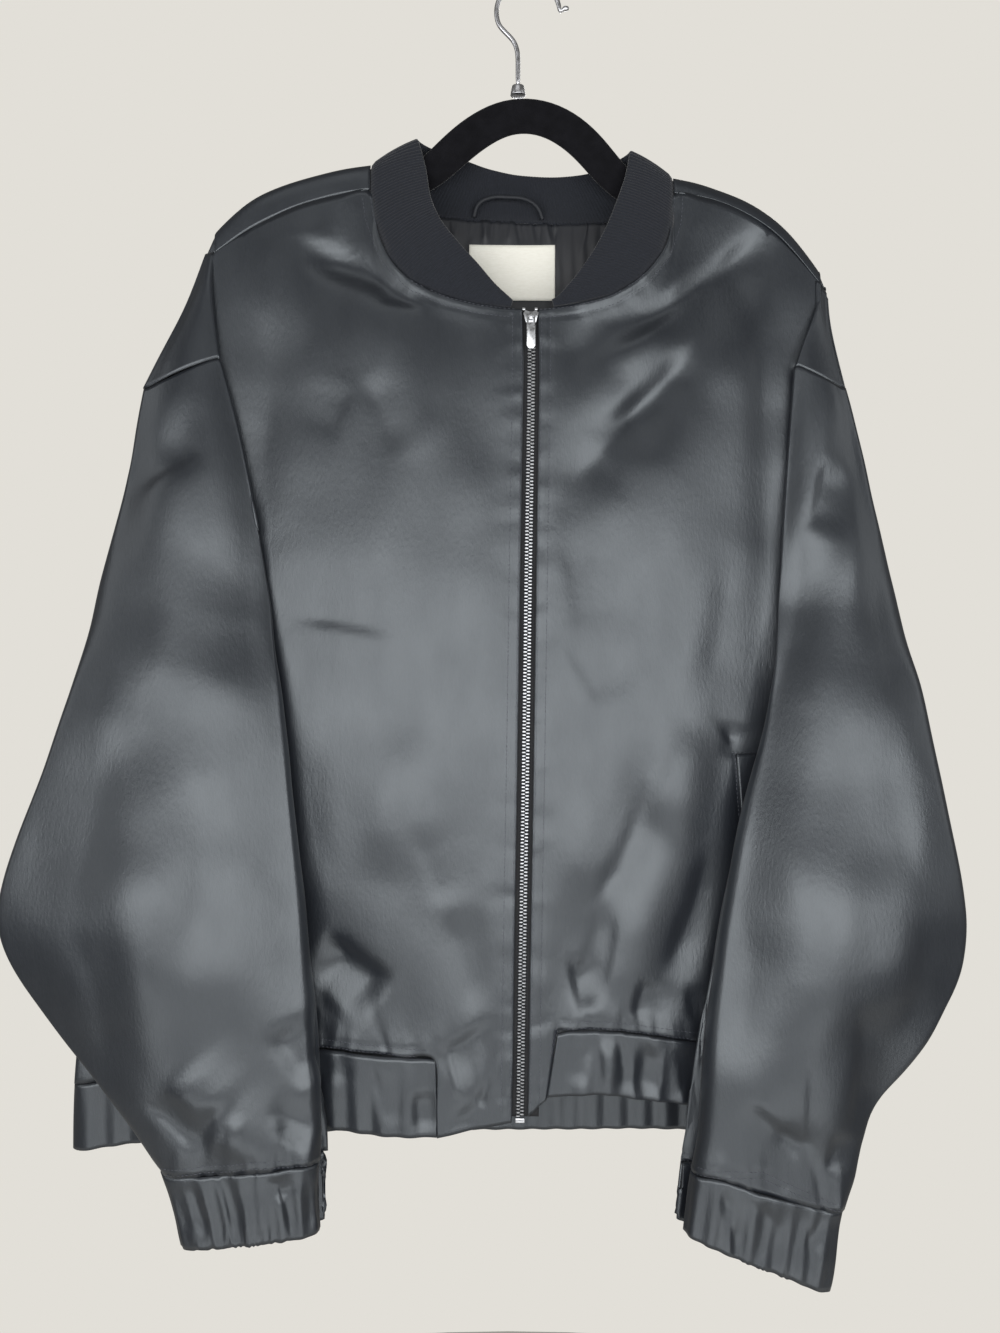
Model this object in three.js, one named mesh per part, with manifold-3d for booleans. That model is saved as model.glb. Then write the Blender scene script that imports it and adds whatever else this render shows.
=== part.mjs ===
// Bomber jacket, zipped up, on its hanger. Millimetres, +Z up, the front faces -Y, the wearer's right side
// is -X. The origin is the inside top of the hanger's hook, where a rod carries it.
import * as THREE from 'three';
import { mergeVertices } from 'three/addons/utils/BufferGeometryUtils.js';
import ManifoldModule from 'manifold-3d';

const wasm = await ManifoldModule();
wasm.setup();
const { Manifold } = wasm;

const SEAM = 0.3;           // gap between two pieces that are sewn together
const CLOTH = 1.5;          // wall of one piece of satin with its seam allowance and lining
const RIB_WALL = 2.6;       // folded rib knit of the collar
const BAND_WALL = 2.4;      // hem band and cuffs, folded over elastic

const SATIN = new THREE.MeshStandardMaterial({ color: '#3b3e44', roughness: 0.38, metalness: 0 });
const LINING = new THREE.MeshStandardMaterial({ color: '#33353c', roughness: 0.45, metalness: 0 });
const KNIT = new THREE.MeshStandardMaterial({ color: '#23252d', roughness: 0.95, metalness: 0 });
const TAPE = new THREE.MeshStandardMaterial({ color: '#17181c', roughness: 0.9, metalness: 0 });
const STEEL = new THREE.MeshStandardMaterial({ color: '#b9bcc2', roughness: 0.25, metalness: 1 });
const VELVET = new THREE.MeshStandardMaterial({ color: '#101114', roughness: 1, metalness: 0 });
const LABEL = new THREE.MeshStandardMaterial({ color: '#f1efe0', roughness: 0.8, metalness: 0 });

const jacket = new THREE.Group();
jacket.name = 'bomber_jacket';

function addPiece(name, geometry, material) {
  const mesh = new THREE.Mesh(geometry, material);
  mesh.name = name;
  jacket.add(mesh);
}

const lerp = (a, b, t) => a + (b - a) * t;
const mix = (p, q, t) => p.map((value, i) => lerp(value, q[i], t));
const minus = (p, q) => p.map((value, i) => value - q[i]);
const plus = (p, q, k = 1) => p.map((value, i) => value + k * q[i]);
const length = (p) => Math.hypot(...p);
const unit = (p) => p.map((value) => value / (length(p) || 1));
const clamp = (t, low = 0, high = 1) => Math.min(high, Math.max(low, t));
const ease = (t) => clamp(t) ** 2 * (3 - 2 * clamp(t));

// A table has a name for each column and a row for each station. Its first column is the key. Between two
// rows a smooth curve is followed that never swings past them.
function table(names, rows) {
  const sorted = [...rows].sort((a, b) => a[0] - b[0]);
  const keys = sorted.map((row) => row[0]);
  const last = keys.length - 1;
  const columns = names.slice(1).map((_, j) => {
    const values = sorted.map((row) => row[j + 1]);
    const rise = keys.slice(1).map((key, i) => (values[i + 1] - values[i]) / (key - keys[i]));
    const slope = values.map((_, i) => {
      if (i === 0) return rise[0];
      if (i === last) return rise[last - 1];
      return rise[i - 1] * rise[i] <= 0 ? 0 : (2 * rise[i - 1] * rise[i]) / (rise[i - 1] + rise[i]);
    });
    return { values, slope };
  });
  return (key) => {
    const k = clamp(key, keys[0], keys[last]);
    let i = keys.findIndex((_, n) => n < last && k <= keys[n + 1]);
    if (i < 0) i = last - 1;
    const width = keys[i + 1] - keys[i];
    const t = (k - keys[i]) / width;
    const row = {};
    columns.forEach(({ values, slope }, j) => {
      const start = (1 + 2 * t) * (1 - t) ** 2 * values[i] + t * (1 - t) ** 2 * width * slope[i];
      const end = t * t * (3 - 2 * t) * values[i + 1] + t * t * (t - 1) * width * slope[i + 1];
      row[names[j + 1]] = start + end;
    });
    return row;
  };
}

function solidGeometry(vertices, triangles) {
  let volume = 0;
  for (const [a, b, c] of triangles) {
    const [p, q, r] = [vertices[a], vertices[b], vertices[c]];
    volume += p[0] * (q[1] * r[2] - q[2] * r[1]);
    volume += p[1] * (q[2] * r[0] - q[0] * r[2]);
    volume += p[2] * (q[0] * r[1] - q[1] * r[0]);
  }
  const faces = volume > 0 ? triangles : triangles.map(([a, b, c]) => [a, c, b]);
  const geometry = new THREE.BufferGeometry();
  geometry.setAttribute('position', new THREE.Float32BufferAttribute(vertices.flat(), 3));
  geometry.setIndex(faces.flat());
  geometry.computeVertexNormals();
  return geometry;
}

// A wall of cloth over a grid of points in its middle. Points left out (null) and cells that hasCell turns
// down make the armholes and notches; isTube closes a row, whose last point is then its first; raise lifts
// single outer points; facing gives the wall's direction at a seam, so that both pieces there have parallel
// edges.
function wall(grid, options = {}) {
  const {
    thick = CLOTH,
    hasCell = () => true,
    isTube = () => false,
    raise = () => 0,
    facing = () => null,
    outward = 1,
  } = options;
  const columnCount = grid[0].length;
  const flat = grid.flat();
  const at = (r, c) => r * columnCount + (c === columnCount - 1 && isTube(r) ? 0 : c);
  const cells = [];
  for (let r = 0; r + 1 < grid.length; r += 1) {
    for (let c = 0; c + 1 < columnCount; c += 1) {
      if (!hasCell(r, c)) continue;
      const corners = [at(r, c), at(r, c + 1), at(r + 1, c + 1), at(r + 1, c)];
      if (corners.every((n) => flat[n])) cells.push(corners);
    }
  }
  const normals = flat.map(() => [0, 0, 0]);
  for (const [a, b, c, d] of cells) {
    const [u, v] = [minus(flat[c], flat[a]), minus(flat[d], flat[b])];
    const n = [u[1] * v[2] - u[2] * v[1], u[2] * v[0] - u[0] * v[2], u[0] * v[1] - u[1] * v[0]];
    for (const corner of [a, b, c, d]) normals[corner] = plus(normals[corner], n);
  }
  const number = new Map();
  const outer = [];
  const inner = [];
  for (const corner of cells.flat()) {
    if (number.has(corner)) continue;
    number.set(corner, outer.length);
    const [r, c] = [Math.floor(corner / columnCount), corner % columnCount];
    const given = facing(r, c);
    const agrees = given ? given.reduce((sum, value, i) => sum + value * normals[corner][i], 0) : 1;
    const along = Math.sign(agrees) || 1;
    const n = unit(given ? given.map((value) => value * along) : normals[corner]);
    const lift = raise(r, c);
    outer.push(plus(flat[corner], n, outward * (thick / 2 + lift)));
    inner.push(plus(flat[corner], n, -outward * thick / 2));
  }
  const count = outer.length;
  const triangles = [];
  const edges = new Map();
  for (const cell of cells) {
    const [a, b, c, d] = cell.map((corner) => number.get(corner));
    const short = length(minus(outer[a], outer[c])) <= length(minus(outer[b], outer[d]));
    const pair = short ? [[a, b, c], [a, c, d]] : [[a, b, d], [b, c, d]];
    for (const [p, q, r] of pair) triangles.push([p, q, r], [p + count, r + count, q + count]);
    for (const [p, q] of [[a, b], [b, c], [c, d], [d, a]]) {
      if (!edges.delete(`${q},${p}`)) edges.set(`${p},${q}`, [p, q]);
    }
  }
  for (const [p, q] of edges.values()) triangles.push([q, p, p + count], [q, p + count, q + count]);
  return solidGeometry([...outer, ...inner], triangles);
}

// Points at equal steps along a line of points.
function resample(points, steps) {
  const along = [0];
  for (let i = 1; i < points.length; i += 1) along.push(along[i - 1] + length(minus(points[i], points[i - 1])));
  const total = along[along.length - 1];
  return Array.from({ length: steps + 1 }, (_, n) => {
    const goal = (total * n) / steps;
    let i = along.findIndex((distance, k) => k > 0 && distance >= goal - 1e-9);
    if (i < 1) i = points.length - 1;
    return mix(points[i - 1], points[i], (goal - along[i - 1]) / (along[i] - along[i - 1]));
  });
}

// The collar's seam (x, y, z) and free edge (tx, ty, tz), from the zip up the wearer's right front, around
// the back of the neck and down the left front. Stations 7 and 19 are the forward shoulder seams.
const NECK = table(['station', 'x', 'y', 'z', 'tx', 'ty', 'tz'], [
  [1, -13.5, -24.5, -257.5, -12.2, -25.5, -252.5],
  [2, -40, -24, -253.5, -25.4, -25.5, -240],
  [3, -66, -22.5, -246, -38, -26, -225],
  [4, -89, -20, -234, -53, -26, -208],
  [5, -106.5, -16, -214.5, -67, -23, -189],
  [6, -117, -10.5, -186, -74.5, -18, -170],
  [7, -121, -7, -162.3, -78.1, -12, -148],
  [8, -121.7, 0, -141.3, -84.6, -3, -122.5],
  [9, -117, 6.5, -148, -77, 7, -124],
  [10, -100, 11.5, -163, -66, 14, -125.5],
  [11, -71, 15.5, -174.5, -49, 19, -129.7],
  [12, -38, 17.3, -177, -29, 21.5, -136],
  [13, 0, 18, -178.5, -5, 22.5, -140.5],
  [14, 31, 17.5, -179.6, 20, 22, -142],
  [15, 61, 15.5, -179.5, 42, 19.5, -141],
  [16, 88, 11.5, -171, 59, 14, -138],
  [17, 104, 6.5, -158, 70.5, 7, -134],
  [18, 109.3, 0, -150.6, 78.2, -3, -131.7],
  [19, 111.4, -7, -164.6, 74.5, -11, -151.3],
  [20, 110, -11.5, -186, 68.5, -17, -170],
  [21, 104.5, -15.5, -206, 60, -21.5, -192],
  [22, 93, -19, -223.5, 49.9, -24, -212],
  [23, 76.4, -21.5, -239, 38, -25.5, -230],
  [24, 55, -23.3, -249.2, 28.5, -26, -242],
  [25, 35, -24.2, -253.7, 22, -26, -249],
  [26, 19, -24.5, -256.8, 17.8, -25.5, -252],
]);
const neckSeam = (station) => { const n = NECK(station); return [n.x, n.y, n.z]; };

// Height of the cloth's ridge over the hanger, and the fall of the forward shoulder seam in front of it.
const SHOULDER = table(['x', 'top', 'seam'], [
  [-243, -199, -213], [-238, -191, -209.5], [-223.3, -176.5, -198.5], [-204.1, -163.8, -187.5],
  [-178, -153.5, -175.5], [-152.5, -146.8, -168], [-121.5, -141.3, -162.3],
  [111, -151, -164.6], [147.8, -160.8, -171.7], [170, -170, -182], [184, -179, -191], [200, -193, -206],
  [210.9, -205.2, -218], [220, -218, -230], [227, -229, -238],
]);

// The zip chain's middle line, which leans as the jacket hangs.
const ZIP = table(['z', 'x', 'y'], [
  [-258, 0.9, -25.5], [-275, 2.2, -27], [-380, 0.7, -31.5], [-477, -0.8, -34.5], [-626, -3, -36.5],
  [-745, -5, -36.5], [-865, -6.8, -35.5],
]);
const ZIP_GAP = 12;         // between the two fabric edges
const ZIP_FLAT = 15;        // no fold runs this near to the zip

// Lower edge of the body cloth (seam of the hem band) and of the band itself, across the front and across
// the back.
const HEM_FRONT = table(['x', 'seam', 'foot'], [
  [-350, -846, -897], [-300, -838, -890], [-250, -828, -882], [-200, -818, -876], [-157.5, -813, -873],
  [-110, -815.5, -876], [-70, -817.6, -876.7], [-8, -812, -864.8], [0, -800, -861], [13.4, -797.5, -847.6],
  [52.9, -796, -844.2], [82.6, -799.6, -849], [127.3, -808.5, -857], [180, -820, -870], [220, -832, -884],
  [247, -845, -897],
]);
const HEM_BACK = table(['x', 'seam', 'foot'], [
  [-350, -846, -897], [-160, -841, -893], [100, -840, -892], [247, -845, -897],
]);

// The sleeve's cross-section, drawn around from the armhole seam in the valley of the tuck (seam) by the
// tuck's rear layer to the fold at the crease (inX), over the front wall to the outer edge (outX), and back
// along the rear wall to its end. turn is 1 where the cloth turns over in the tuck and 0 where it runs on
// flat into the rear wall.
const VALLEY_STEPS = 3;
const LAYER_STEPS = 2;
const FOLD_STEPS = 4;
const FRONT_STEPS = 6;
const EDGE_STEPS = 4;
const REAR_STEPS = 6;
const EDGE_FLATNESS = 0.75;  // the outer edge is an oval, this much of its depth across
const SWELL_PLACE = 0.45;    // share of the front wall where frontY is measured
const RING_TO_EDGE = VALLEY_STEPS + LAYER_STEPS + FOLD_STEPS + FRONT_STEPS + EDGE_STEPS / 2;
const RING_COLUMNS = RING_TO_EDGE + EDGE_STEPS / 2 + REAR_STEPS;

function ring(row, side) {
  const points = [];
  const toward = -side;                                       // from the outer edge to the middle of the body
  const put = (x, y, share) => points.push([x, y, row.z + row.drop * share]);
  const radius = row.foldRadius;
  const valleyY = row.rearY + radius * row.turn;
  for (let i = 0; i <= VALLEY_STEPS; i += 1) {
    const angle = (Math.PI * i) / VALLEY_STEPS;
    const folded = [row.seamX + side * radius * Math.sin(angle), valleyY + radius * row.turn * Math.cos(angle)];
    const open = [row.seamX + toward * i * radius, row.rearY];
    put(lerp(open[0], folded[0], row.turn), lerp(open[1], folded[1], row.turn), 0);
  }
  const layerStart = points[points.length - 1];
  const foldX = row.inX + side * radius;
  for (let i = 1; i <= LAYER_STEPS; i += 1) {
    const t = i / LAYER_STEPS;
    put(lerp(layerStart[0], foldX, t), lerp(layerStart[1], row.foldY + radius, t), 0);
  }
  for (let i = 1; i <= FOLD_STEPS; i += 1) {
    const angle = (Math.PI * i) / FOLD_STEPS;
    put(foldX + toward * radius * Math.sin(angle), row.foldY + radius * Math.cos(angle), 0);
  }
  const edgeX = row.outX - side * row.edgeRadius * EDGE_FLATNESS;
  const frontStart = row.foldY - radius;
  const frontEnd = row.outY - row.edgeRadius;
  for (let i = 1; i <= FRONT_STEPS; i += 1) {
    const t = i / FRONT_STEPS;
    const straight = lerp(frontStart, frontEnd, t);
    const swell = row.frontY - lerp(frontStart, frontEnd, SWELL_PLACE);
    put(lerp(foldX, edgeX, t), straight + swell * Math.sin(Math.PI * t ** 0.9) ** 0.8, t);
  }
  for (let i = 1; i <= EDGE_STEPS; i += 1) {
    const angle = (Math.PI * i) / EDGE_STEPS;
    const across = EDGE_FLATNESS * row.edgeRadius * Math.sin(angle);
    put(edgeX + side * across, row.outY - row.edgeRadius * Math.cos(angle), 1);
  }
  for (let i = 1; i <= REAR_STEPS; i += 1) {
    const t = i / REAR_STEPS;
    const bow = row.rearBow * Math.sin(Math.PI * t);
    put(lerp(edgeX, row.endX, t), lerp(row.outY + row.edgeRadius, row.endY, t) + bow, 1 - t);
  }
  return points;
}

// Level direction across the wall at point c of a ring.
function ringFacing(points, c) {
  const [before, after] = [points[Math.max(0, c - 1)], points[Math.min(points.length - 1, c + 1)]];
  return [after[1] - before[1], before[0] - after[0], 0];
}
const ACROSS_Y = [0, 1, 0];
const ACROSS_X = [1, 0, 0];

// Sleeve rows from the armhole seam (first) to the cuff seam (last). The fourth and fifth key stand on
// either side of the underarm, where the open ring of the armhole closes into a tube.
const SLEEVE_COLUMNS = ['z', 'drop', 'inX', 'outX', 'seamX', 'rearY', 'foldRadius', 'foldY', 'frontY', 'outY',
  'edgeRadius', 'endX', 'endY', 'rearBow', 'turn'];
const UNDERARM_Z = -478;
const SLEEVES = {
  right: {
    side: -1,
    rows: [
      [-294.9, -20.7, -232.4, -291.7, -246, -18, 2.6, -20.6, -26, -11, 7, -258, 8, 1, 1],
      [-340, -14, -221, -299.5, -243, -18.5, 2.8, -21.3, -33, -10.5, 9.5, -249, 10, 2, 1],
      [-400, -6, -208, -310, -241, -19.3, 3, -22.3, -40, -11, 11.5, -246, 12, 2, 1],
      [-477.4, 0, -193.4, -327, -240, -20.3, 3, -23.3, -46, -12.5, 14, -268, 12.5, 1, 1],
      [-481, 0, -193, -327.8, -240, -19.4, 3, -24, -46.5, -13, 14, -240.3, -19.4, 0, 0],
      [-510, 0, -189.5, -334, -239, -23, 5, -29, -50, -20, 14, -239.3, -23, 1, 0],
      [-560, 0, -183, -348, -236, -25.5, 7, -33.5, -56, -29, 14, -236.3, -25.5, 3, 0],
      [-614, 0, -175.8, -366, -232, -27, 9, -37, -64, -35, 15, -232.3, -27, 4, 0],
      [-684, 0, -167.8, -387, -226, -28, 11, -41, -76, -39, 15, -226.3, -28, 4, 0],
      [-712, 0, -164.7, -390.5, -224, -28, 12, -43, -80, -40, 15, -224.3, -28, 4, 0],
      [-743, 0, -161.6, -380.5, -220, -28, 13, -44, -80, -41, 15, -220.3, -28, 4, 0],
      [-785, 0, -157.1, -354.5, -212, -29, 14, -46.5, -77, -42, 15, -212.3, -29, 3, 0],
      [-822, 0, -155.6, -324, -206, -31.5, 15, -48.5, -75, -44, 15, -206.3, -31.5, 1, 0],
      [-855, -2, -154.9, -296.5, -200, -32.5, 15.5, -49.5, -73, -45, 15, -200.3, -32.5, 0, 0],
      [-887, -7.7, -153.4, -269.4, -196, -32.5, 15.5, -50.5, -68, -46, 15, -196.3, -32.5, 0, 0],
    ],
  },
  left: {
    side: 1,
    rows: [
      [-300, -15, 200.6, 240.9, 214, -17, 2.6, -19.6, -24, -11, 7, 224, 8, 1, 1],
      [-345, -8, 196.5, 250.5, 214, -18, 2.8, -20.8, -29, -10.5, 9, 216, 10, 2, 1],
      [-402, -4, 192.4, 262.1, 214, -19, 3, -22, -35, -11, 11.5, 214, 12, 2, 1],
      [-477.4, 0, 187, 278.5, 214, -20.3, 3, -23.3, -42, -12.5, 14, 228, 12.5, 1, 1],
      [-481, 0, 186.5, 279.2, 213.5, -19.4, 3, -24, -42.5, -13, 14, 213.8, -19.4, 0, 0],
      [-510, 0, 185, 285.5, 212, -23, 5, -29, -46, -20, 14, 212.3, -23, 1, 0],
      [-563, 0, 176.5, 296.8, 207, -25.5, 7, -33.5, -53, -29, 14, 207.3, -25.5, 3, 0],
      [-618, 0, 162.8, 305.8, 198, -27, 9, -37, -61, -35, 15, 198.3, -27, 4, 0],
      [-670, 0, 151.2, 314.4, 190, -28, 11, -41, -72, -39, 15, 190.3, -28, 4, 0],
      [-721, 0, 141.1, 321.8, 183, -28, 13, -44, -78, -41, 15, 183.3, -28, 4, 0],
      [-748, 0, 136.8, 319, 180, -28, 14, -45, -79, -42, 15, 180.3, -28, 4, 0],
      [-780, 0, 131.7, 304.5, 176, -30, 15, -47.5, -78, -43, 15, 176.3, -30, 3, 0],
      [-812, -2, 128, 282.5, 172, -33, 16, -51, -77, -46, 15, 172.3, -33, 1, 0],
      [-845, -8, 125, 252, 167, -34, 16, -52, -76, -48, 15, 167.3, -34, 0, 0],
      [-870, -16, 123, 240, 164, -34, 16, -52.5, -73, -49, 15, 164.3, -34, 0, 0],
      [-894, -26, 119, 229.8, 160, -34, 16, -52.5, -69, -49, 15, 160.3, -34, 0, 0],
    ],
  },
};

// Side seams of the body below the underarm.
const SIDE_COLUMNS = ['z', 'x', 'y', 'round'];
const SIDE_SEAM = {
  right: table(SIDE_COLUMNS, [
    [-478, -308, 2, 1.6], [-520, -313, 2.5, 6], [-591, -323.7, 3, 10], [-707, -336.4, 3, 11],
    [-784, -345.6, 3, 11],
    [-850, -349.5, 3, 11],
  ]),
  left: table(SIDE_COLUMNS, [
    [-478, 261, 2, 1.6], [-520, 260, 2.5, 6], [-591, 257, 3, 10], [-707, 255, 3, 11], [-784, 251, 3, 11],
    [-850, 247, 3, 11],
  ]),
};

// The body front between zip and tuck: how far forward it stands at the zip, in its middle and at the valley.
const FRONT_DEPTH = table(['z', 'mid', 'creaseY', 'valleyY'], [
  [-209, -12, -8, -7.5], [-300, -26, -13.5, -12.8], [-400, -31, -14, -13.3], [-478, -33, -15, -14.3],
  [-560, -34, -16, -14], [-700, -35, -17, -13], [-812, -34, -18, -12], [-850, -34, -18, -12],
]);
const BACK_DEPTH = table(['z', 'centre', 'blade', 'notch'], [
  [-178, 18, 13, 8], [-240, 22, 18, 9], [-300, 25, 23, 10], [-478, 27, 28, 13], [-700, 28, 29, 16],
  [-850, 27, 28, 17],
]);
const BLADE_SHARE = 0.55;   // how far the shoulder blade's swell lies from the middle of the back to the side

// Large folds of the fronts, back and sleeves. A fold runs from (x1, z1) to (x2, z2); depth is how far its
// bottom sinks in (a negative one rises), and width is the reach to each side.
const FOLD_COLUMNS = ['x1', 'z1', 'x2', 'z2', 'width', 'depth'];
const FOLDS = {
  front_right: [
    [-175, -190, -66, -245, 16, 3.2], [-190, -215, -105, -262, 14, -2.2], [-160, -735, -98, -768, 24, 5],
    [-183, -490, -100, -501, 12, 2], [-70, -803, -110, -806, 13, 3], [-128, -305, -102, -365, 16, 2.2],
  ],
  front_left: [
    [184, -181, 33, -291, 18, 4.5], [168, -223, 95, -314, 16, 4], [95, -314, 20, -396, 16, 3.2],
    [90, -617, 42, -720, 18, 4.5], [42, -720, 26, -777, 16, 3], [137, -669, 105, -762, 18, 4],
    [122, -594, 70, -700, 18, -3],
  ],
  back: [
    [-190, -230, -40, -330, 26, 3.5], [180, -240, 30, -350, 26, 3.5], [-60, -560, -110, -760, 28, 4],
    [70, -600, 40, -790, 26, 3.5], [-200, -520, -240, -700, 26, -3],
  ],
  sleeve_right: [
    [-300, -384, -258, -360, 16, 3], [-262, -633, -280, -793, 26, -5], [-205, -800, -178, -845, 22, 6],
    [-275, -860, -250, -885, 16, -4], [-330, -640, -350, -760, 26, 3],
  ],
  sleeve_left: [
    [238, -366, 206, -478, 16, 3.5], [206, -478, 192, -552, 15, 3], [254, -790, 250, -884, 20, 6],
    [170, -862, 212, -893, 16, 4], [200, -640, 190, -780, 26, -4],
  ],
};

function foldDepth(folds, x, z) {
  return folds.reduce((sum, row) => {
    const [x1, z1, x2, z2, width, depth] = FOLD_COLUMNS.map((_, i) => row[i]);
    const [runX, runZ] = [x2 - x1, z2 - z1];
    const along = ((x - x1) * runX + (z - z1) * runZ) / (runX ** 2 + runZ ** 2);
    const near = clamp(along);
    const off = Math.hypot(x - x1 - near * runX, z - z1 - near * runZ);
    return sum + depth * Math.exp(-((off / width) ** 2));
  }, 0);
}

// FRONTS. Columns run from the zip to the valley of the tuck; from there on either along the tuck and the
// shoulder's wedge (rows above the armhole seam) or to the side seam (rows below the underarm).
const BODY_STEPS = 13;
const NECK_STEPS = 6;       // columns of the body that end in the neckline
const SIDE_STEPS = 8;
const SHOULDER_CORNER = { right: -238, left: 221.5 };
const TUCK_ROWS = [0.36, 0.7, 1];
const BODY_LEVELS = [-480.5, -530, -580, -630, -680, -730, -772];
const SLIT_ROW = 5;         // last row of the sleeve's open ring
const SLEEVE_LEVELS = {
  right: [
    -295.05, -320, -350, -385, -430, -477.1, -481, -510, -540, -575, -614, -655, -690, -720, -750, -785, -820,
    -855, -887,
  ],
  left: [
    -300.25, -325, -355, -390, -430, -477.1, -481, -510, -540, -575, -614, -655, -690, -720, -750, -782, -815,
    -846, -870, -894,
  ],
};

const sleeveTable = (name) => table(SLEEVE_COLUMNS, SLEEVES[name].rows);
const sleeveRow = (name, z) => ({ ...sleeveTable(name)(z), z });

// The wedge above the armhole seam has the sleeve's section, smaller up to the shoulder's corner.
const WEDGE_COLUMNS = ['share', 'z', 'drop', 'inX', 'outX', 'seamX', 'foldRadius', 'valleyY', 'outY',
  'edgeRadius', 'frontY', 'endX', 'endY'];
const WEDGE = {
  right: table(WEDGE_COLUMNS, [
    [0, -207, -3, -239, -246, -240, 1.3, -7.5, -3, 3, -8, -238, 6],
    [0.36, -238, -10, -241.5, -259.5, -245, 1.4, -9.3, -5.5, 4.5, -14, -243, 7],
    [0.7, -268, -15, -237.5, -275.5, -246, 2, -11, -8.5, 6, -20, -252, 7.5],
    [1, -294.5, -20.7, -232.4, -291.7, -246, 2.6, -12.8, -11, 7, -26, -258, 8],
  ]),
  left: table(WEDGE_COLUMNS, [
    [0, -236, -3, 222.5, 229, 223, 1.3, -7.5, -3, 3, -8, 221, 6],
    [0.36, -258, -7, 217, 231, 220, 1.4, -9.3, -5.5, 4.5, -13, 219, 7],
    [0.7, -279, -11, 208, 235.5, 216, 2, -11, -8.5, 6, -18, 221, 7.5],
    [1, -299.5, -15, 200.6, 240.9, 214, 2.6, -11.8, -11, 7, -24, 224, 8],
  ]),
};

function wedgeRing(name, share) {
  const row = WEDGE[name](share);
  const rearY = row.valleyY - 2 * row.foldRadius;
  return ring({ ...row, rearY, foldY: rearY - row.foldRadius, turn: 1, rearBow: 1 }, SLEEVES[name].side);
}

const ZIP_HEAD = -258.3;       // upper end of the front's edge beside the zip
const SHOULDER_FRONT = -7.2;   // depth of the forward shoulder seam
const ARMHOLE_TOP = -300;      // the armhole seam at the valley, once the shoulder's wedge has ended
const LEVELLING = { from: 8, over: 5 };   // columns over which a row sinks from the body to the wedge's height
const TIP_GAP = 0.9;           // keeps the wedge's tip clear of the back
const SIDE_FLAT = 0.72;        // share of the side that lies flat before it rounds to the side seam
const SIDE_ROUND = 6;          // width of that rounding
const UNDER_TUCK = { below: -500, y: -17.2 };   // the body front tucked behind the sleeve, just under the arm

// The plain piece beside the zip runs down to the foot of the hem band. It is so many columns wide; its
// seam end and its foot have these heights, and its free edge these x.
const PLAIN_PIECE = {
  right: { columns: 4, seamZ: -817.6, footZ: [-864.8, -876.7], endX: [-69.7, -68.4] },
  left: { columns: 1, seamZ: -798.5, footZ: [-860.5, -848], endX: [20.8, 13.2] },
};

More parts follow.
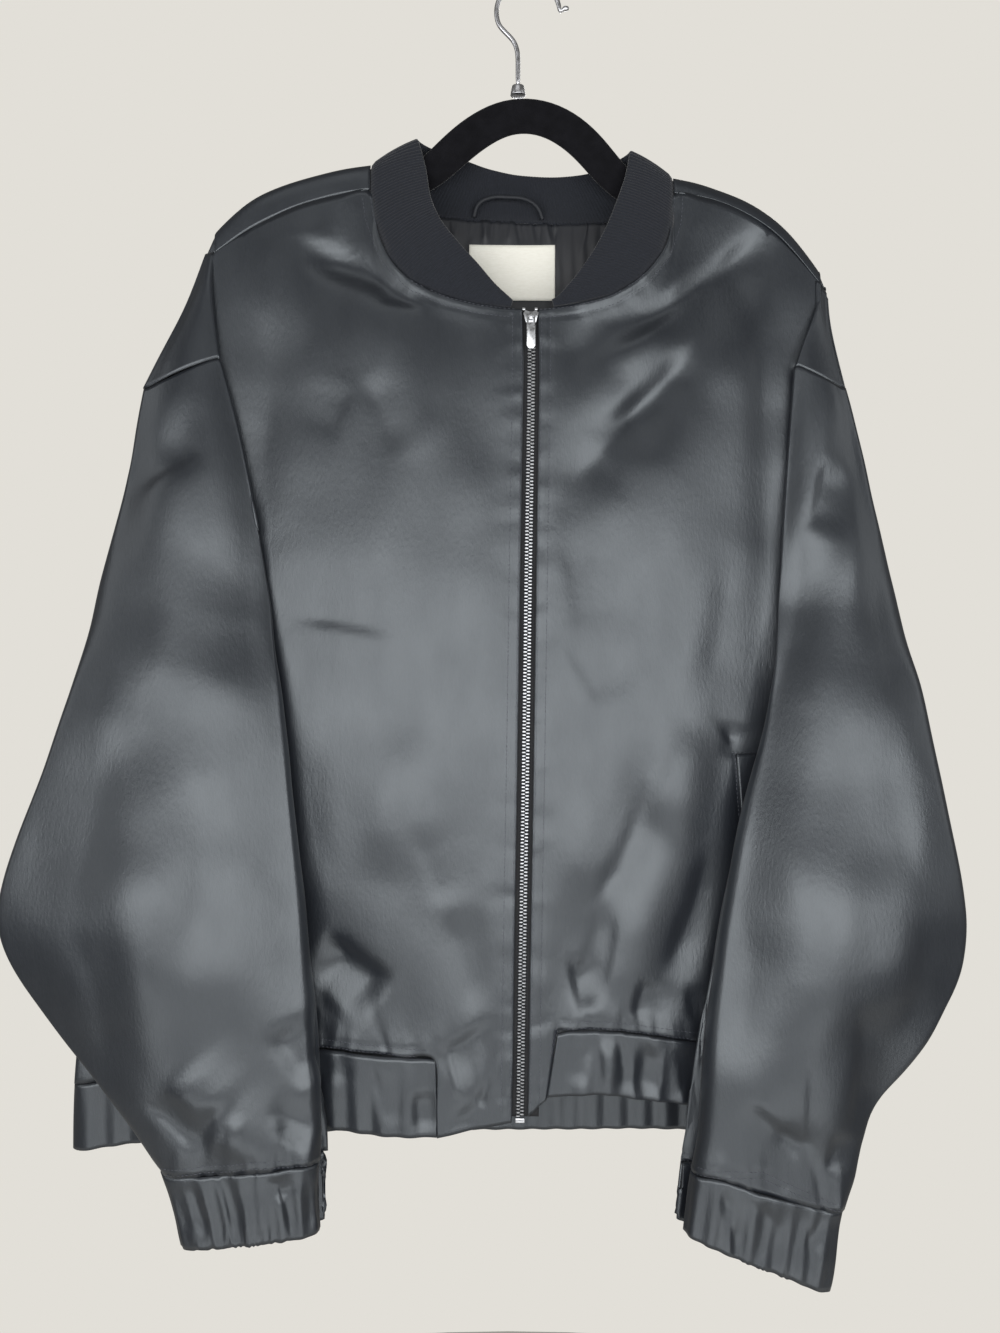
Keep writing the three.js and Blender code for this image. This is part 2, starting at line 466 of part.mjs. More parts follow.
function frontGrid(name) {
  const { side } = SLEEVES[name];
  const neckAt = (c) => (side < 0 ? lerp(1, 7, c / NECK_STEPS) : lerp(26, 19, c / NECK_STEPS));
  const cornerX = SHOULDER_CORNER[name];
  const zipEdge = (z) => { const zip = ZIP(z); return [zip.x + (side * ZIP_GAP) / 2, zip.y, z]; };
  const topEdge = (c) => {
    if (c === 0) return zipEdge(ZIP_HEAD);
    if (c <= NECK_STEPS + 1) return neckSeam(neckAt(c - 1));
    const outward = (c - 1 - NECK_STEPS) / (BODY_STEPS - 1 - NECK_STEPS);
    const x = lerp(neckSeam(neckAt(NECK_STEPS))[0], cornerX, outward);
    return [x, SHOULDER_FRONT, SHOULDER(x).seam];
  };
  const hemAt = (x) => HEM_FRONT(x).seam;
  const plain = PLAIN_PIECE[name];
  const bandEnd = plain.columns;
  const bodyPoint = (c, z, valley) => {
    const zip = zipEdge(z);
    const t = c / BODY_STEPS;
    const depth = FRONT_DEPTH(z);
    const across = table(['t', 'y'], [
      [0, zip[1]], [0.45, depth.mid], [0.74, lerp(depth.mid, depth.creaseY, 0.62)], [0.86, depth.creaseY],
      [1, valley[1]],
    ]);
    return [lerp(zip[0], valley[0], t), across(t).y, z];
  };
  const folded = (p) => {
    const free = ease((Math.abs(p[0] - ZIP(p[2]).x) - ZIP_FLAT) / ZIP_FLAT);
    return plus(p, [0, free * foldDepth(FOLDS[`front_${name}`], p[0], p[2]), 0]);
  };
  const grid = [];
  const total = BODY_STEPS + 1 + RING_TO_EDGE;
  // The top edge: neckline, shoulder seam and the corner where the wedge starts.
  const corner = wedgeRing(name, 0);
  const start = topEdge(BODY_STEPS);
  const tip = corner[RING_TO_EDGE];
  const first = Array.from({ length: total }, (_, c) => {
    if (c <= BODY_STEPS) return topEdge(c);
    const t = (c - BODY_STEPS) / RING_TO_EDGE;
    return mix(start, plus(tip, [0, -SEAM - TIP_GAP, -TIP_GAP]), t);
  });
  grid.push(first);
  const levelRow = (share) => {
    const rolled = wedgeRing(name, share);
    const valley = rolled[0];
    const z = rolled[0][2];
    return Array.from({ length: total }, (_, c) => {
      if (c <= BODY_STEPS) {
        const low = bodyPoint(c, ARMHOLE_TOP, [valley[0], valley[1]]);
        const goal = mix(topEdge(c), low, share);
        const sunk = ease((c - LEVELLING.from) / LEVELLING.over);
        const level = lerp(first[c][2], lerp(ARMHOLE_TOP, z, sunk), share);
        return folded([goal[0], goal[1], level]);
      }
      return rolled[c - BODY_STEPS];
    });
  };
  for (const share of TUCK_ROWS) grid.push(levelRow(share));
  const none = Array(total).fill(null);
  for (const z of SLEEVE_LEVELS[name].slice(1, SLIT_ROW + 1)) {
    const row = sleeveRow(name, z);
    const valley = [row.seamX + side * -SEAM, row.rearY + 2 * row.foldRadius];
    grid.push(none.map((_, c) => (c <= BODY_STEPS ? folded(bodyPoint(c, z, valley)) : null)));
  }
  const sideRow = (z, ofHem) => {
    const seam = SIDE_SEAM[name](z);
    const depth = FRONT_DEPTH(z);
    const arm = sleeveRow(name, Math.min(z, SLEEVE_LEVELS[name][SLIT_ROW + 1]));
    const valley = [arm.seamX, z > UNDER_TUCK.below ? UNDER_TUCK.y : depth.valleyY];
    return none.map((_, c) => {
      let point = null;
      if (c <= BODY_STEPS) point = bodyPoint(c, z, valley);
      else if (c <= BODY_STEPS + SIDE_STEPS) {
        const t = (c - BODY_STEPS) / SIDE_STEPS;
        const roundX = seam.x - side * SIDE_ROUND;
        const frontSide = seam.y - seam.round;
        if (t <= SIDE_FLAT) {
          point = [lerp(valley[0], roundX, t / SIDE_FLAT), lerp(valley[1], frontSide, t / SIDE_FLAT), z];
        } else {
          const angle = ((t - SIDE_FLAT) / (1 - SIDE_FLAT)) * (Math.PI / 2);
          const y = lerp(frontSide, seam.y - SEAM / 2, 1 - Math.cos(angle));
          point = [roundX + side * SIDE_ROUND * Math.sin(angle), y, z];
        }
      }
      if (!point) return null;
      const level = ofHem ? hemAt(point[0]) : z;
      return folded([point[0], point[1], level]);
    });
  };
  for (const z of BODY_LEVELS) grid.push(sideRow(z));
  grid.push(sideRow(-812, true));
  const seamRow = grid.length - 1;
  const belowBand = (share) => none.map((_, c) => {
    if (c > bandEnd) return null;
    const t = c / bandEnd;
    const z = lerp(plain.seamZ, lerp(...plain.footZ, t), share);
    const zip = zipEdge(z);
    return [lerp(zip[0], lerp(...plain.endX, share), t), lerp(zip[1], FRONT_DEPTH(z).mid, t / 2), z];
  });
  grid[seamRow] = grid[seamRow].map((point, c) => (point && c <= bandEnd ? belowBand(0)[c] : point));
  grid.push(belowBand(0.5), belowBand(1));
  const lastArmRow = TUCK_ROWS.length + SLIT_ROW;
  const hasCell = (r, c) => {
    if (r >= seamRow) return c < bandEnd;
    if (c < BODY_STEPS) return true;
    if (r < TUCK_ROWS.length) return true;
    return r > lastArmRow && c < BODY_STEPS + SIDE_STEPS;
  };
  const seamRing = wedgeRing(name, 1);
  const facing = (r, c) => {
    if (r <= TUCK_ROWS.length && c === total - 1) return ACROSS_X;
    if (r === 0) return c > NECK_STEPS && c <= BODY_STEPS ? ACROSS_Y : null;
    if (r === TUCK_ROWS.length && c > BODY_STEPS) return ringFacing(seamRing, c - BODY_STEPS);
    if (r >= TUCK_ROWS.length && r <= lastArmRow && c === BODY_STEPS) return ACROSS_Y;
    return r > lastArmRow && r <= seamRow && c === BODY_STEPS + SIDE_STEPS ? ACROSS_X : null;
  };
  return { grid, hasCell, facing, seamRow, bandEnd };
}

const fronts = { right: frontGrid('right'), left: frontGrid('left') };
for (const name of ['right', 'left']) {
  const { grid, hasCell, facing } = fronts[name];
  addPiece(`front_${name}`, wall(grid, { hasCell, facing }), SATIN);
}

// SLEEVES. Open rings down to the underarm, then tubes.
function sleeveGrid(name) {
  return SLEEVE_LEVELS[name].map((z) => ring(sleeveRow(name, z), SLEEVES[name].side).map((p, c) => {
    const onFront = c > VALLEY_STEPS + LAYER_STEPS + 2 && c < RING_TO_EDGE;
    return onFront ? plus(p, [0, foldDepth(FOLDS[`sleeve_${name}`], p[0], p[2]), 0]) : p;
  }));
}
const sleeves = { right: sleeveGrid('right'), left: sleeveGrid('left') };
for (const name of ['right', 'left']) {
  const hasCell = (r, c) => !(r === SLIT_ROW && c >= RING_TO_EDGE + EDGE_STEPS / 2);
  const facing = (r, c) => {
    if (r <= SLIT_ROW && (c === 0 || c === RING_COLUMNS)) return ACROSS_Y;
    return r === 0 ? ringFacing(sleeves[name][0], c) : null;
  };
  addPiece(`sleeve_${name}`, wall(sleeves[name], { hasCell, facing, isTube: (r) => r > SLIT_ROW }), SATIN);
}

// BACK. One piece from side seam to side seam. It comes forward over the hanger to the shoulder seams, and
// its columns outside the notch take up the rear half of the wedge and, below the underarm, the side.
const OUTER_STEPS = EDGE_STEPS / 2 + REAR_STEPS;
const SHOULDER_STEPS = BODY_STEPS - 1 - NECK_STEPS;
const NECK_BACK_STEPS = 5;
const HALF_STEPS = SHOULDER_STEPS + NECK_BACK_STEPS;
const BACK_COLUMNS = 2 * (OUTER_STEPS + HALF_STEPS);
const OVER_SHOULDER = [[-7, 0], [-5.2, -6], [0, 0], [5.2, -6]];   // y, and z from the ridge (first: the seam)
const TIP_STEP = 0.09;      // how the rows of the shoulder's end share the start of the wedge's outer edge
const BACK_NECK = { right: [8.6, 13], left: [17.4, 13] };   // neck stations from the shoulder to the middle
const BACK_REACH = { right: 245, left: 215 };               // from the middle of the back to the notch
const MIDDLE_X = 2;
const ARMHOLE_BACK = -298;  // height of the back at the armhole seam
const YOKE = { start: 0.16, bulge: 3 };   // share of the way down where its rows start, and their fullness
const NOTCH_STEPS = 3;      // columns over which the back runs in from the notch
const UNDERARM_Y = 12.6;    // depth of the notch's lower end
const BACK_FLAT = 0.7;
const BACK_HEM = -845;
const NOTCH_FOOT = -477.4;

function backY(x, z) {
  const depth = BACK_DEPTH(z);
  const share = clamp(Math.abs(x) / (x < 0 ? BACK_REACH.right : BACK_REACH.left));
  const across = table(['t', 'y'], [[0, depth.centre], [BLADE_SHARE, depth.blade], [1, depth.notch]]);
  return across(share).y;
}

function backGrid() {
  // Each column as a side, a share from the notch to the middle and, outside the notch, a number counted
  // outward.
  const columns = Array.from({ length: BACK_COLUMNS + 1 }, (_, c) => {
    const name = c <= BACK_COLUMNS / 2 ? 'right' : 'left';
    const fromEdge = name === 'right' ? c : BACK_COLUMNS - c;
    return { name, inward: Math.max(0, fromEdge - OUTER_STEPS), outward: Math.max(0, OUTER_STEPS - fromEdge) };
  });
  const neckEnd = { right: neckSeam(7)[0], left: neckSeam(19)[0] };
  const topX = ({ name, inward }) => lerp(SHOULDER_CORNER[name], neckEnd[name], inward / SHOULDER_STEPS);
  const isNeck = ({ inward }) => inward > SHOULDER_STEPS;
  const neckPoint = ({ name, inward }) => {
    const t = (inward - SHOULDER_STEPS) / NECK_BACK_STEPS;
    return neckSeam(lerp(...BACK_NECK[name], t));
  };
  const ridgePoint = (column, r) => {
    const x = topX(column);
    const shoulder = SHOULDER(x);
    const [y, drop] = OVER_SHOULDER[r];
    return [x, y, r === 0 ? shoulder.seam + SEAM : shoulder.top + drop];
  };
  const outerEdge = (name, share) => plus(wedgeRing(name, share)[RING_TO_EDGE], [0, SEAM / 2, 0]);
  const capPoint = (column, notchPoint, r) => {
    const tip = mix(outerEdge(column.name, 0), outerEdge(column.name, TUCK_ROWS[0]), TIP_STEP * r);
    return mix(notchPoint, tip, column.outward / OUTER_STEPS);
  };
  const notch = (name) => columns.find((column) => column.name === name && !column.inward && !column.outward);
  const grid = OVER_SHOULDER.map((_, r) => columns.map((column) => {
    if (isNeck(column)) return r === OVER_SHOULDER.length - 1 ? neckPoint(column) : null;
    if (!column.outward) return ridgePoint(column, r);
    return capPoint(column, ridgePoint(notch(column.name), r), r);
  }));
  const neckRow = grid[grid.length - 1];
  const wedgeLow = (name) => wedgeRing(name, 1)[RING_COLUMNS];
  const wedgeRow = (share) => columns.map((column, c) => {
    const rolled = wedgeRing(column.name, share);
    if (column.outward && share === 0) return capPoint(column, rolled[RING_COLUMNS], OVER_SHOULDER.length);
    if (column.outward === OUTER_STEPS) return plus(rolled[RING_TO_EDGE], [0, SEAM / 2, 0]);
    if (column.outward) return rolled[RING_COLUMNS - column.outward];
    const apart = share === 1 ? -SLEEVES[column.name].side * SEAM : 0;
    if (!column.inward) return plus(rolled[RING_COLUMNS], [apart, 0, 0]);
    const low = wedgeLow(column.name);
    const x = lerp(low[0], MIDDLE_X, column.inward / HALF_STEPS);
    const down = lerp(YOKE.start, 1, share);
    const level = lerp(low[2], ARMHOLE_BACK, ease(column.inward / NOTCH_STEPS));
    const goal = mix(neckRow[c], [x, backY(x, ARMHOLE_BACK), level], down);
    const bulge = Math.sin(Math.PI * down) * YOKE.bulge;
    return [goal[0], goal[1] + bulge, goal[2]];
  });
  for (const share of [0, ...TUCK_ROWS]) grid.push(wedgeRow(share));
  const sink = (p) => plus(p, [0, -foldDepth(FOLDS.back, p[0], p[2]), 0]);
  for (let i = 1; i <= SLIT_ROW; i += 1) {
    grid.push(columns.map(({ name, inward, outward }) => {
      if (outward) return null;
      const row = sleeveRow(name, SLEEVE_LEVELS[name][i]);
      const x = lerp(row.endX - SLEEVES[name].side * SEAM, MIDDLE_X, inward / HALF_STEPS);
      const y = lerp(row.endY, backY(x, row.z), ease(inward / NOTCH_STEPS));
      return inward ? sink([x, y, row.z]) : [x, row.endY, row.z];
    }));
  }
  for (const level of [...BODY_LEVELS, 'hem']) {
    grid.push(columns.map(({ name, inward, outward }) => {
      const z = level === 'hem' ? BACK_HEM : level;
      const { side } = SLEEVES[name];
      const seam = SIDE_SEAM[name](z);
      const isUnderarm = z > UNDER_TUCK.below;
      const notchX = sleeveRow(name, Math.max(z, NOTCH_FOOT)).endX - side * SEAM;
      const x = lerp(notchX, MIDDLE_X, inward / HALF_STEPS);
      const notchY = BACK_DEPTH(z).notch;
      let point = [x, inward ? lerp(notchY, backY(x, z), ease(inward / NOTCH_STEPS)) : notchY, z];
      if (isUnderarm && inward < NOTCH_STEPS) point[1] = lerp(UNDERARM_Y, point[1], inward / NOTCH_STEPS);
      if (outward) {
        const t = outward / OUTER_STEPS;
        const roundX = seam.x - side * SIDE_ROUND;
        const backSide = seam.y + seam.round;
        const height = isUnderarm ? NOTCH_FOOT : z;
        if (t <= BACK_FLAT) point = mix([notchX, point[1], height], [roundX, backSide, height], t / BACK_FLAT);
        else {
          const angle = ((t - BACK_FLAT) / (1 - BACK_FLAT)) * (Math.PI / 2);
          const y = lerp(backSide, seam.y + SEAM / 2, 1 - Math.cos(angle));
          point = [roundX + side * SIDE_ROUND * Math.sin(angle), y, height];
        }
      }
      if (level === 'hem') point[2] = HEM_BACK(point[0]).seam;
      return sink(point);
    }));
  }
  const firstArm = OVER_SHOULDER.length + TUCK_ROWS.length;
  const lastArm = firstArm + SLIT_ROW;
  const outerCell = (c) => c < OUTER_STEPS || c >= BACK_COLUMNS - OUTER_STEPS;
  const hasCell = (r, c) => !(outerCell(c) && r >= firstArm && r <= lastArm);
  const facing = (r, c) => {
    const column = columns[c];
    if (column.outward === OUTER_STEPS) return ACROSS_X;
    if (r === 0) return column.outward || isNeck(column) ? null : ACROSS_Y;
    if (r === firstArm && column.outward) {
      return ringFacing(wedgeRing(column.name, 1), RING_COLUMNS - column.outward);
    }
    return r >= firstArm && r <= lastArm && !column.inward ? ACROSS_Y : null;
  };
  return { grid, hasCell, facing, columns };
}
const back = backGrid();
addPiece('back', wall(back.grid, back), SATIN);

// COLLAR. One strip of rib knit, folded along its free edge, from zip to zip. Its ribs stand out from the
// outside.
const RIBS = 84;
const RIB_HEIGHT = 0.45;
const COLLAR_ROWS = [0, 0.35, 0.7, 1];
const COLLAR_ROLL = 3;      // how far the strip bows outward between seam and edge
const COLLAR_INSET = 1.3;   // from the panels' edge to the rib's edge, measured up the collar
const RIDGE_STATIONS = { right: [7.4, 8, 8.6], left: [18.6, 18, 17.4] };   // neck stations over the shoulder
const BACK_STATION = 13;    // middle of the back of the neck

function collarGrid() {
  // The panels' own edge points with their stations, so that the collar follows them exactly.
  const tiny = 1e-6;
  const stationOf = (column) => {
    return lerp(...BACK_NECK[column.name], (column.inward - SHOULDER_STEPS) / NECK_BACK_STEPS);
  };
  const frontLine = (name, from, to) => fronts[name].grid[0].slice(1, NECK_STEPS + 2)
    .map((p, i) => [...p, tiny * lerp(from, to, i / NECK_STEPS)]);
  const ridge = (name) => back.grid.slice(1, OVER_SHOULDER.length).map((row, i) => {
    const c = back.columns.findIndex((column) => column.name === name && column.inward === SHOULDER_STEPS);
    return [...row[c], tiny * RIDGE_STATIONS[name][i]];
  });
  const neckRow = back.grid[OVER_SHOULDER.length - 1].map((p, c) => [p, back.columns[c]])
    .filter(([, column]) => column.inward > SHOULDER_STEPS)
    .map(([p, column]) => [...p, tiny * stationOf(column)]);
  const nodes = [
    ...frontLine('right', 1, 7), ...ridge('right'), ...neckRow, ...ridge('left').reverse(),
    ...frontLine('left', 26, 19).reverse(),
  ];
  const line = resample(nodes, 2 * RIBS);
  return COLLAR_ROWS.map((t) => line.map((node) => {
    const s = node[3] / tiny;
    const n = NECK(s);
    const [seam, edge] = [node.slice(0, 3), [n.tx, n.ty, n.tz]];
    const up = minus(edge, seam);
    const from = plus(seam, unit(up), COLLAR_INSET);
    const roll = COLLAR_ROLL * Math.sin(Math.PI * t) * clamp(length(up) / 40);
    const isFront = clamp((Math.abs(s - BACK_STATION) - 3) / 3);
    return plus(mix(from, edge, t), [0, lerp(1, -1, isFront) * roll * 0.6, roll * 0.5]);
  }));
}
const ribHeight = (_, c) => (c % 2 ? RIB_HEIGHT : 0);
addPiece('collar', wall(collarGrid(), { thick: RIB_WALL, raise: ribHeight, outward: -1 }), KNIT);

// CUFFS. Tubes of satin gathered by elastic, sewn to the sleeves' ends.
const CUFF_GATHERS = 22;
const GATHER = 1.1;         // how far a gather stands out and in
const CUFFS = {
  right: { innerX: -152.5, innerZ: -937.4, outerX: -254.5, outerZ: -949.4, middleY: -48, flat: 0.86 },
  left: { innerX: 113.7, innerZ: -937.4, outerX: 218.8, outerZ: -981.5, middleY: -50, flat: 0.86 },
};
for (const name of ['right', 'left']) {
  const top = sleeves[name][sleeves[name].length - 1];
  const cuff = CUFFS[name];
  const first = resample([...top.slice(0, -1), top[0]], 2 * CUFF_GATHERS);
  const topRow = sleeveRow(name, SLEEVE_LEVELS[name].at(-1));
  const grid = [0, 0.5, 1].map((share) => first.map((p, c) => {
    const across = (p[0] - topRow.inX) / (topRow.outX - topRow.inX);
    const low = [
      lerp(cuff.innerX, cuff.outerX, across),
      cuff.middleY + (p[1] - cuff.middleY) * cuff.flat,
      lerp(cuff.innerZ, cuff.outerZ, across),
    ];
    const out = ringFacing([...first.slice(-2, -1), ...first, first[1]], c + 1);
    const wave = (c % 2 ? 1 : -1) * GATHER * (share ? 1 : 0.2);
    return plus(plus(mix(p, low, share), [0, 0, -(SEAM + 0.3) * (1 - share)]), unit(out), wave);
  }));
  const facing = (r, c) => (r === 0 ? ringFacing([...first.slice(-2, -1), ...first, first[1]], c + 1) : null);
  addPiece(`cuff_${name}`, wall(grid, { thick: BAND_WALL, isTube: () => true, facing }), SATIN);
}

// HEM BAND. One strip gathered by elastic, from the plain piece beside the zip around the back to the other
// side.
const BAND_GATHERS = 60;
const frontHem = (name) => {
  const { grid, seamRow, bandEnd } = fronts[name];
  return grid[seamRow].slice(bandEnd, BODY_STEPS + SIDE_STEPS + 1);
};
const bandLine = resample(
  [...frontHem('right'), ...back.grid[back.grid.length - 1], ...frontHem('left').reverse()], 2 * BAND_GATHERS,
);
const SIDE_DEPTH = 12;      // depth over which the band's foot turns from the front's height to the back's
const bandFoot = (p) => {
  const [front, rear] = [HEM_FRONT(p[0]).foot, HEM_BACK(p[0]).foot];
  return p[1] < 0 ? front : lerp(front, rear, ease(p[1] / SIDE_DEPTH));
};
const bandLast = 2 * BAND_GATHERS;
const BAND_GAP = SEAM + 0.4;
const BAND_LEAN = 7;        // the left end leans towards the zip
const bandGrid = [0, 0.5, 1].map((share) => bandLine.map((p, c) => {
  const out = unit(ringFacing(bandLine, c));
  const isEnd = c === 0 || c === bandLast;
  const wave = isEnd ? 0 : (c % 2 ? 1 : -1) * GATHER * (share ? 1.2 : 0.2);
  let inset = [0, 0, 0];
  if (c === 0) inset = [-BAND_GAP, 0, 0];
  if (c === bandLast) inset = [BAND_GAP - share * BAND_LEAN, 0, 0];
  const z = lerp(p[2] - BAND_GAP, bandFoot(p), share);
  return plus(plus([p[0], p[1], z], inset), out, wave);
}));
const bandFacing = (r, c) => (r === 0 || c === 0 || c === bandLast ? ringFacing(bandLine, c) : null);
addPiece('hem_band', wall(bandGrid, { thick: BAND_WALL, facing: bandFacing }), SATIN);

// BACK NECK LINING with its gathers, where it shows through the neck, and the bare label sewn on it.
const LINING_GATHERS = 16;
const liningGap = (share) => lerp(1.1, 7.2, share);
const LINING_RIGHT = 10.6;  // neck stations where the lining starts and ends
const LINING_LEFT = 15.9;
const LINING_TOP = 5;       // below the neck seam
const LINING_FOOT = -322;
const LINING_ROWS = [0, 0.14, 0.45, 1];
const LINING_GATHER = [0.54, 0.9, 0.27, 0];   // height of the gathers on each row
const liningPoint = (station, share, lift) => {
  const seam = neckSeam(station);
  const z = lerp(seam[2] - LINING_TOP, LINING_FOOT, share);
  const y = lerp(seam[1], backY(seam[0], z), ease(share * 3)) - liningGap(share) - lift;
  return [seam[0] * lerp(0.97, 1.08, share), y, z];
};
const liningGrid = LINING_ROWS.map((share, r) => Array.from({ length: 2 * LINING_GATHERS + 1 }, (_, c) => {
  const station = lerp(LINING_RIGHT, LINING_LEFT, c / (2 * LINING_GATHERS));
  return liningPoint(station, share, c % 2 ? LINING_GATHER[r] : 0);
}));
addPiece('lining_back_neck', wall(liningGrid, { thick: 1 }), LINING);

const LABEL_SIZE = { x: [-45.5, 21.3], z: [-197.7, -240.5], thick: 0.8, lift: 2.2 };
const LABEL_COLUMNS = 5;
const TWO_STATIONS = { right: 71, left: 61 };   // how far two neck stations reach from the middle of the back
const labelGrid = [0, 0.5, 1].map((down) => Array.from({ length: LABEL_COLUMNS + 1 }, (_, c) => {
  const x = lerp(...LABEL_SIZE.x, c / LABEL_COLUMNS);
  const z = lerp(...LABEL_SIZE.z, down);
  const station = BACK_STATION + (2 * x) / (x < 0 ? TWO_STATIONS.right : TWO_STATIONS.left);
  const [, seamY, seamZ] = neckSeam(station);
  const share = (seamZ - LINING_TOP - z) / (seamZ - LINING_TOP - LINING_FOOT);
  return [x, lerp(seamY, backY(x, z), ease(share * 3)) - liningGap(share) - LABEL_SIZE.lift, z];
}));
addPiece('neck_label', wall(labelGrid, { thick: LABEL_SIZE.thick }), LABEL);

// A round cord or wire along a line of points, with a flat or round end.
function cord(points, radii, sides = 8) {
  const rings = points.map((p, i) => {
    const run = unit(minus(points[Math.min(i + 1, points.length - 1)], points[Math.max(i - 1, 0)]));
    const side = Math.abs(run[1]) < 0.9 ? [0, 1, 0] : [1, 0, 0];
    const u = unit(new THREE.Vector3(...run).cross(new THREE.Vector3(...side)).toArray());
    const v = new THREE.Vector3(...run).cross(new THREE.Vector3(...u)).toArray();
    const radius = Array.isArray(radii) ? radii[i] : radii;
    return Array.from({ length: sides }, (_, k) => {
      const angle = (2 * Math.PI * k) / sides;
      return plus(plus(p, u, radius * Math.cos(angle)), v, radius * Math.sin(angle));
    });
  });
  return tube(rings, points[0], points[points.length - 1]);
}

// A solid skinned over closed rings of points, with a fan over each end.
function tube(rings, start, end) {
  const sides = rings[0].length;
  const vertices = [...rings.flat(), start, end];
  const triangles = [];
  for (let i = 0; i + 1 < rings.length; i += 1) {
    for (let k = 0; k < sides; k += 1) {
      const [a, b] = [i * sides + k, i * sides + ((k + 1) % sides)];
      triangles.push([a, b, b + sides], [a, b + sides, a + sides]);
    }
  }
  const lastRing = (rings.length - 1) * sides;
  for (let k = 0; k < sides; k += 1) {
    const next = (k + 1) % sides;
    triangles.push([vertices.length - 2, next, k], [vertices.length - 1, lastRing + k, lastRing + next]);
  }
  return solidGeometry(vertices, triangles);
}

function curve(points, steps) {
  const line = new THREE.CatmullRomCurve3(points.map((p) => new THREE.Vector3(...p)), false, 'centripetal');
  return line.getSpacedPoints(steps).map((p) => p.toArray());
}

// HANGER LOOP. A satin cord caught in the back neck seam.
const LOOP_RADIUS = 1.7;
const loopLine = curve([
  [-42, 13.5, -175.6], [-38.5, 12, -166.5], [-30, 11.5, -161.6], [-15, 11.2, -161], [-1.3, 11.5, -162.6],
  [7.5, 12, -168.5], [11.7, 13.9, -177],
], 18);
addPiece('hanger_loop', cord(loopLine, LOOP_RADIUS, 7), SATIN);

// ZIP. Two tapes behind the fabric edges, a strip of teeth on each, two top stops, one bottom stop, slider
// and pull.
const ZIP_TOP = -270.5;
const ZIP_FOOT = -861;
const TAPE_WIDTH = 14;
const TAPE_WALL = 0.9;
const TAPE_BACK = 2.2;      // how far behind the fabric's middle the tape lies
const TAPE_TOP = -259.5;
const TOOTH_REACH = 2.9;
const TOOTH_BACK = 0.2;
const TOOTH_WALL = 2.4;
const ZIP_ROWS = 14;
const stripe = (side, from, to, back, top) => Array.from({ length: ZIP_ROWS + 1 }, (_, r) => {
  const z = lerp(top, ZIP_FOOT, r / ZIP_ROWS);
  const zip = ZIP(z);
  return [from, to].map((x) => [zip.x + side * x, zip.y + back, z]);
});
for (const [name, side] of [['right', -1], ['left', 1]]) {
  const tape = stripe(side, SEAM / 2, TAPE_WIDTH, TAPE_BACK, TAPE_TOP);
  const teeth = stripe(side, SEAM / 2, TOOTH_REACH, TOOTH_BACK, ZIP_TOP);
  addPiece(`zip_tape_${name}`, wall(tape, { thick: TAPE_WALL }), TAPE);
  addPiece(`zip_teeth_${name}`, wall(teeth, { thick: TOOTH_WALL }), STEEL);
}

// Metal pieces are three.js shapes, joined and cut as solids.
function solidOf(geometry) {
  const bare = new THREE.BufferGeometry();
  bare.setAttribute('position', geometry.getAttribute('position'));
  if (geometry.index) bare.setIndex(geometry.index);
  const merged = mergeVertices(bare);
  return new Manifold(new wasm.Mesh({
    numProp: 3,
    vertProperties: new Float32Array(merged.getAttribute('position').array),
    triVerts: new Uint32Array(merged.index.array),
  }));
}

function fromManifold(solid) {
  const mesh = solid.getMesh();
  const geometry = new THREE.BufferGeometry();
  geometry.setAttribute('position', new THREE.BufferAttribute(mesh.vertProperties, 3));
  geometry.setIndex(new THREE.BufferAttribute(mesh.triVerts, 1));
  return geometry;
}
const block = (size, centre) => new THREE.BoxGeometry(...size).translate(...centre);

// A plate cut to an outline of (x, z) points; its back lies at y = 0 and its front at y = -thick.
function plateOf(outline, thick) {
  const shape = new THREE.Shape(outline.map(([x, z]) => new THREE.Vector2(x, z)));
  return new THREE.ExtrudeGeometry(shape, { depth: thick, bevelEnabled: false }).rotateX(Math.PI / 2);
}

const SLIDER = {
  z: -265,
  width: 11.4,
  height: 9.6,
  thick: 2.4,
  standOff: 1.6,
  bailWidth: 2.2,
  bailWall: 1.2,
  holeDepth: 2.3,
  holeHeight: 3.2,
};
const SLIDER_AT = ZIP(SLIDER.z);
const plateFront = SLIDER_AT.y - SLIDER.standOff - SLIDER.thick;
const HINGE = [SLIDER_AT.x, plateFront - SLIDER.holeDepth / 2, SLIDER.z];
function sliderSolid() {
  const { width: w, height: h } = SLIDER;
  const half = [
    [0.1 * w, 0.5 * h - 1], [0.36 * w, 0.5 * h], [0.5 * w, 0.5 * h - 2], [0.34 * w, -0.5 * h + 1],
    [0.24 * w, -0.5 * h],
  ];
  const shield = [...half, ...half.map(([x, z]) => [-x, z]).reverse()];
  const plate = plateOf(shield, SLIDER.thick).translate(SLIDER_AT.x, SLIDER_AT.y - SLIDER.standOff, SLIDER.z);
  const reach = SLIDER.holeDepth + SLIDER.bailWall;
  const bailHeight = SLIDER.holeHeight + 2 * SLIDER.bailWall;
  const rooted = 1;           // the bail starts this deep in the plate
  const bailY = plateFront + (rooted - reach) / 2;
  const bail = block([SLIDER.bailWidth, reach + rooted, bailHeight], [SLIDER_AT.x, bailY, SLIDER.z]);
  const hole = block([2 * SLIDER.bailWidth, SLIDER.holeDepth, SLIDER.holeHeight], HINGE);
  return solidOf(plate).add(solidOf(bail).subtract(solidOf(hole)));
}
addPiece('zip_slider', fromManifold(sliderSolid()), STEEL);

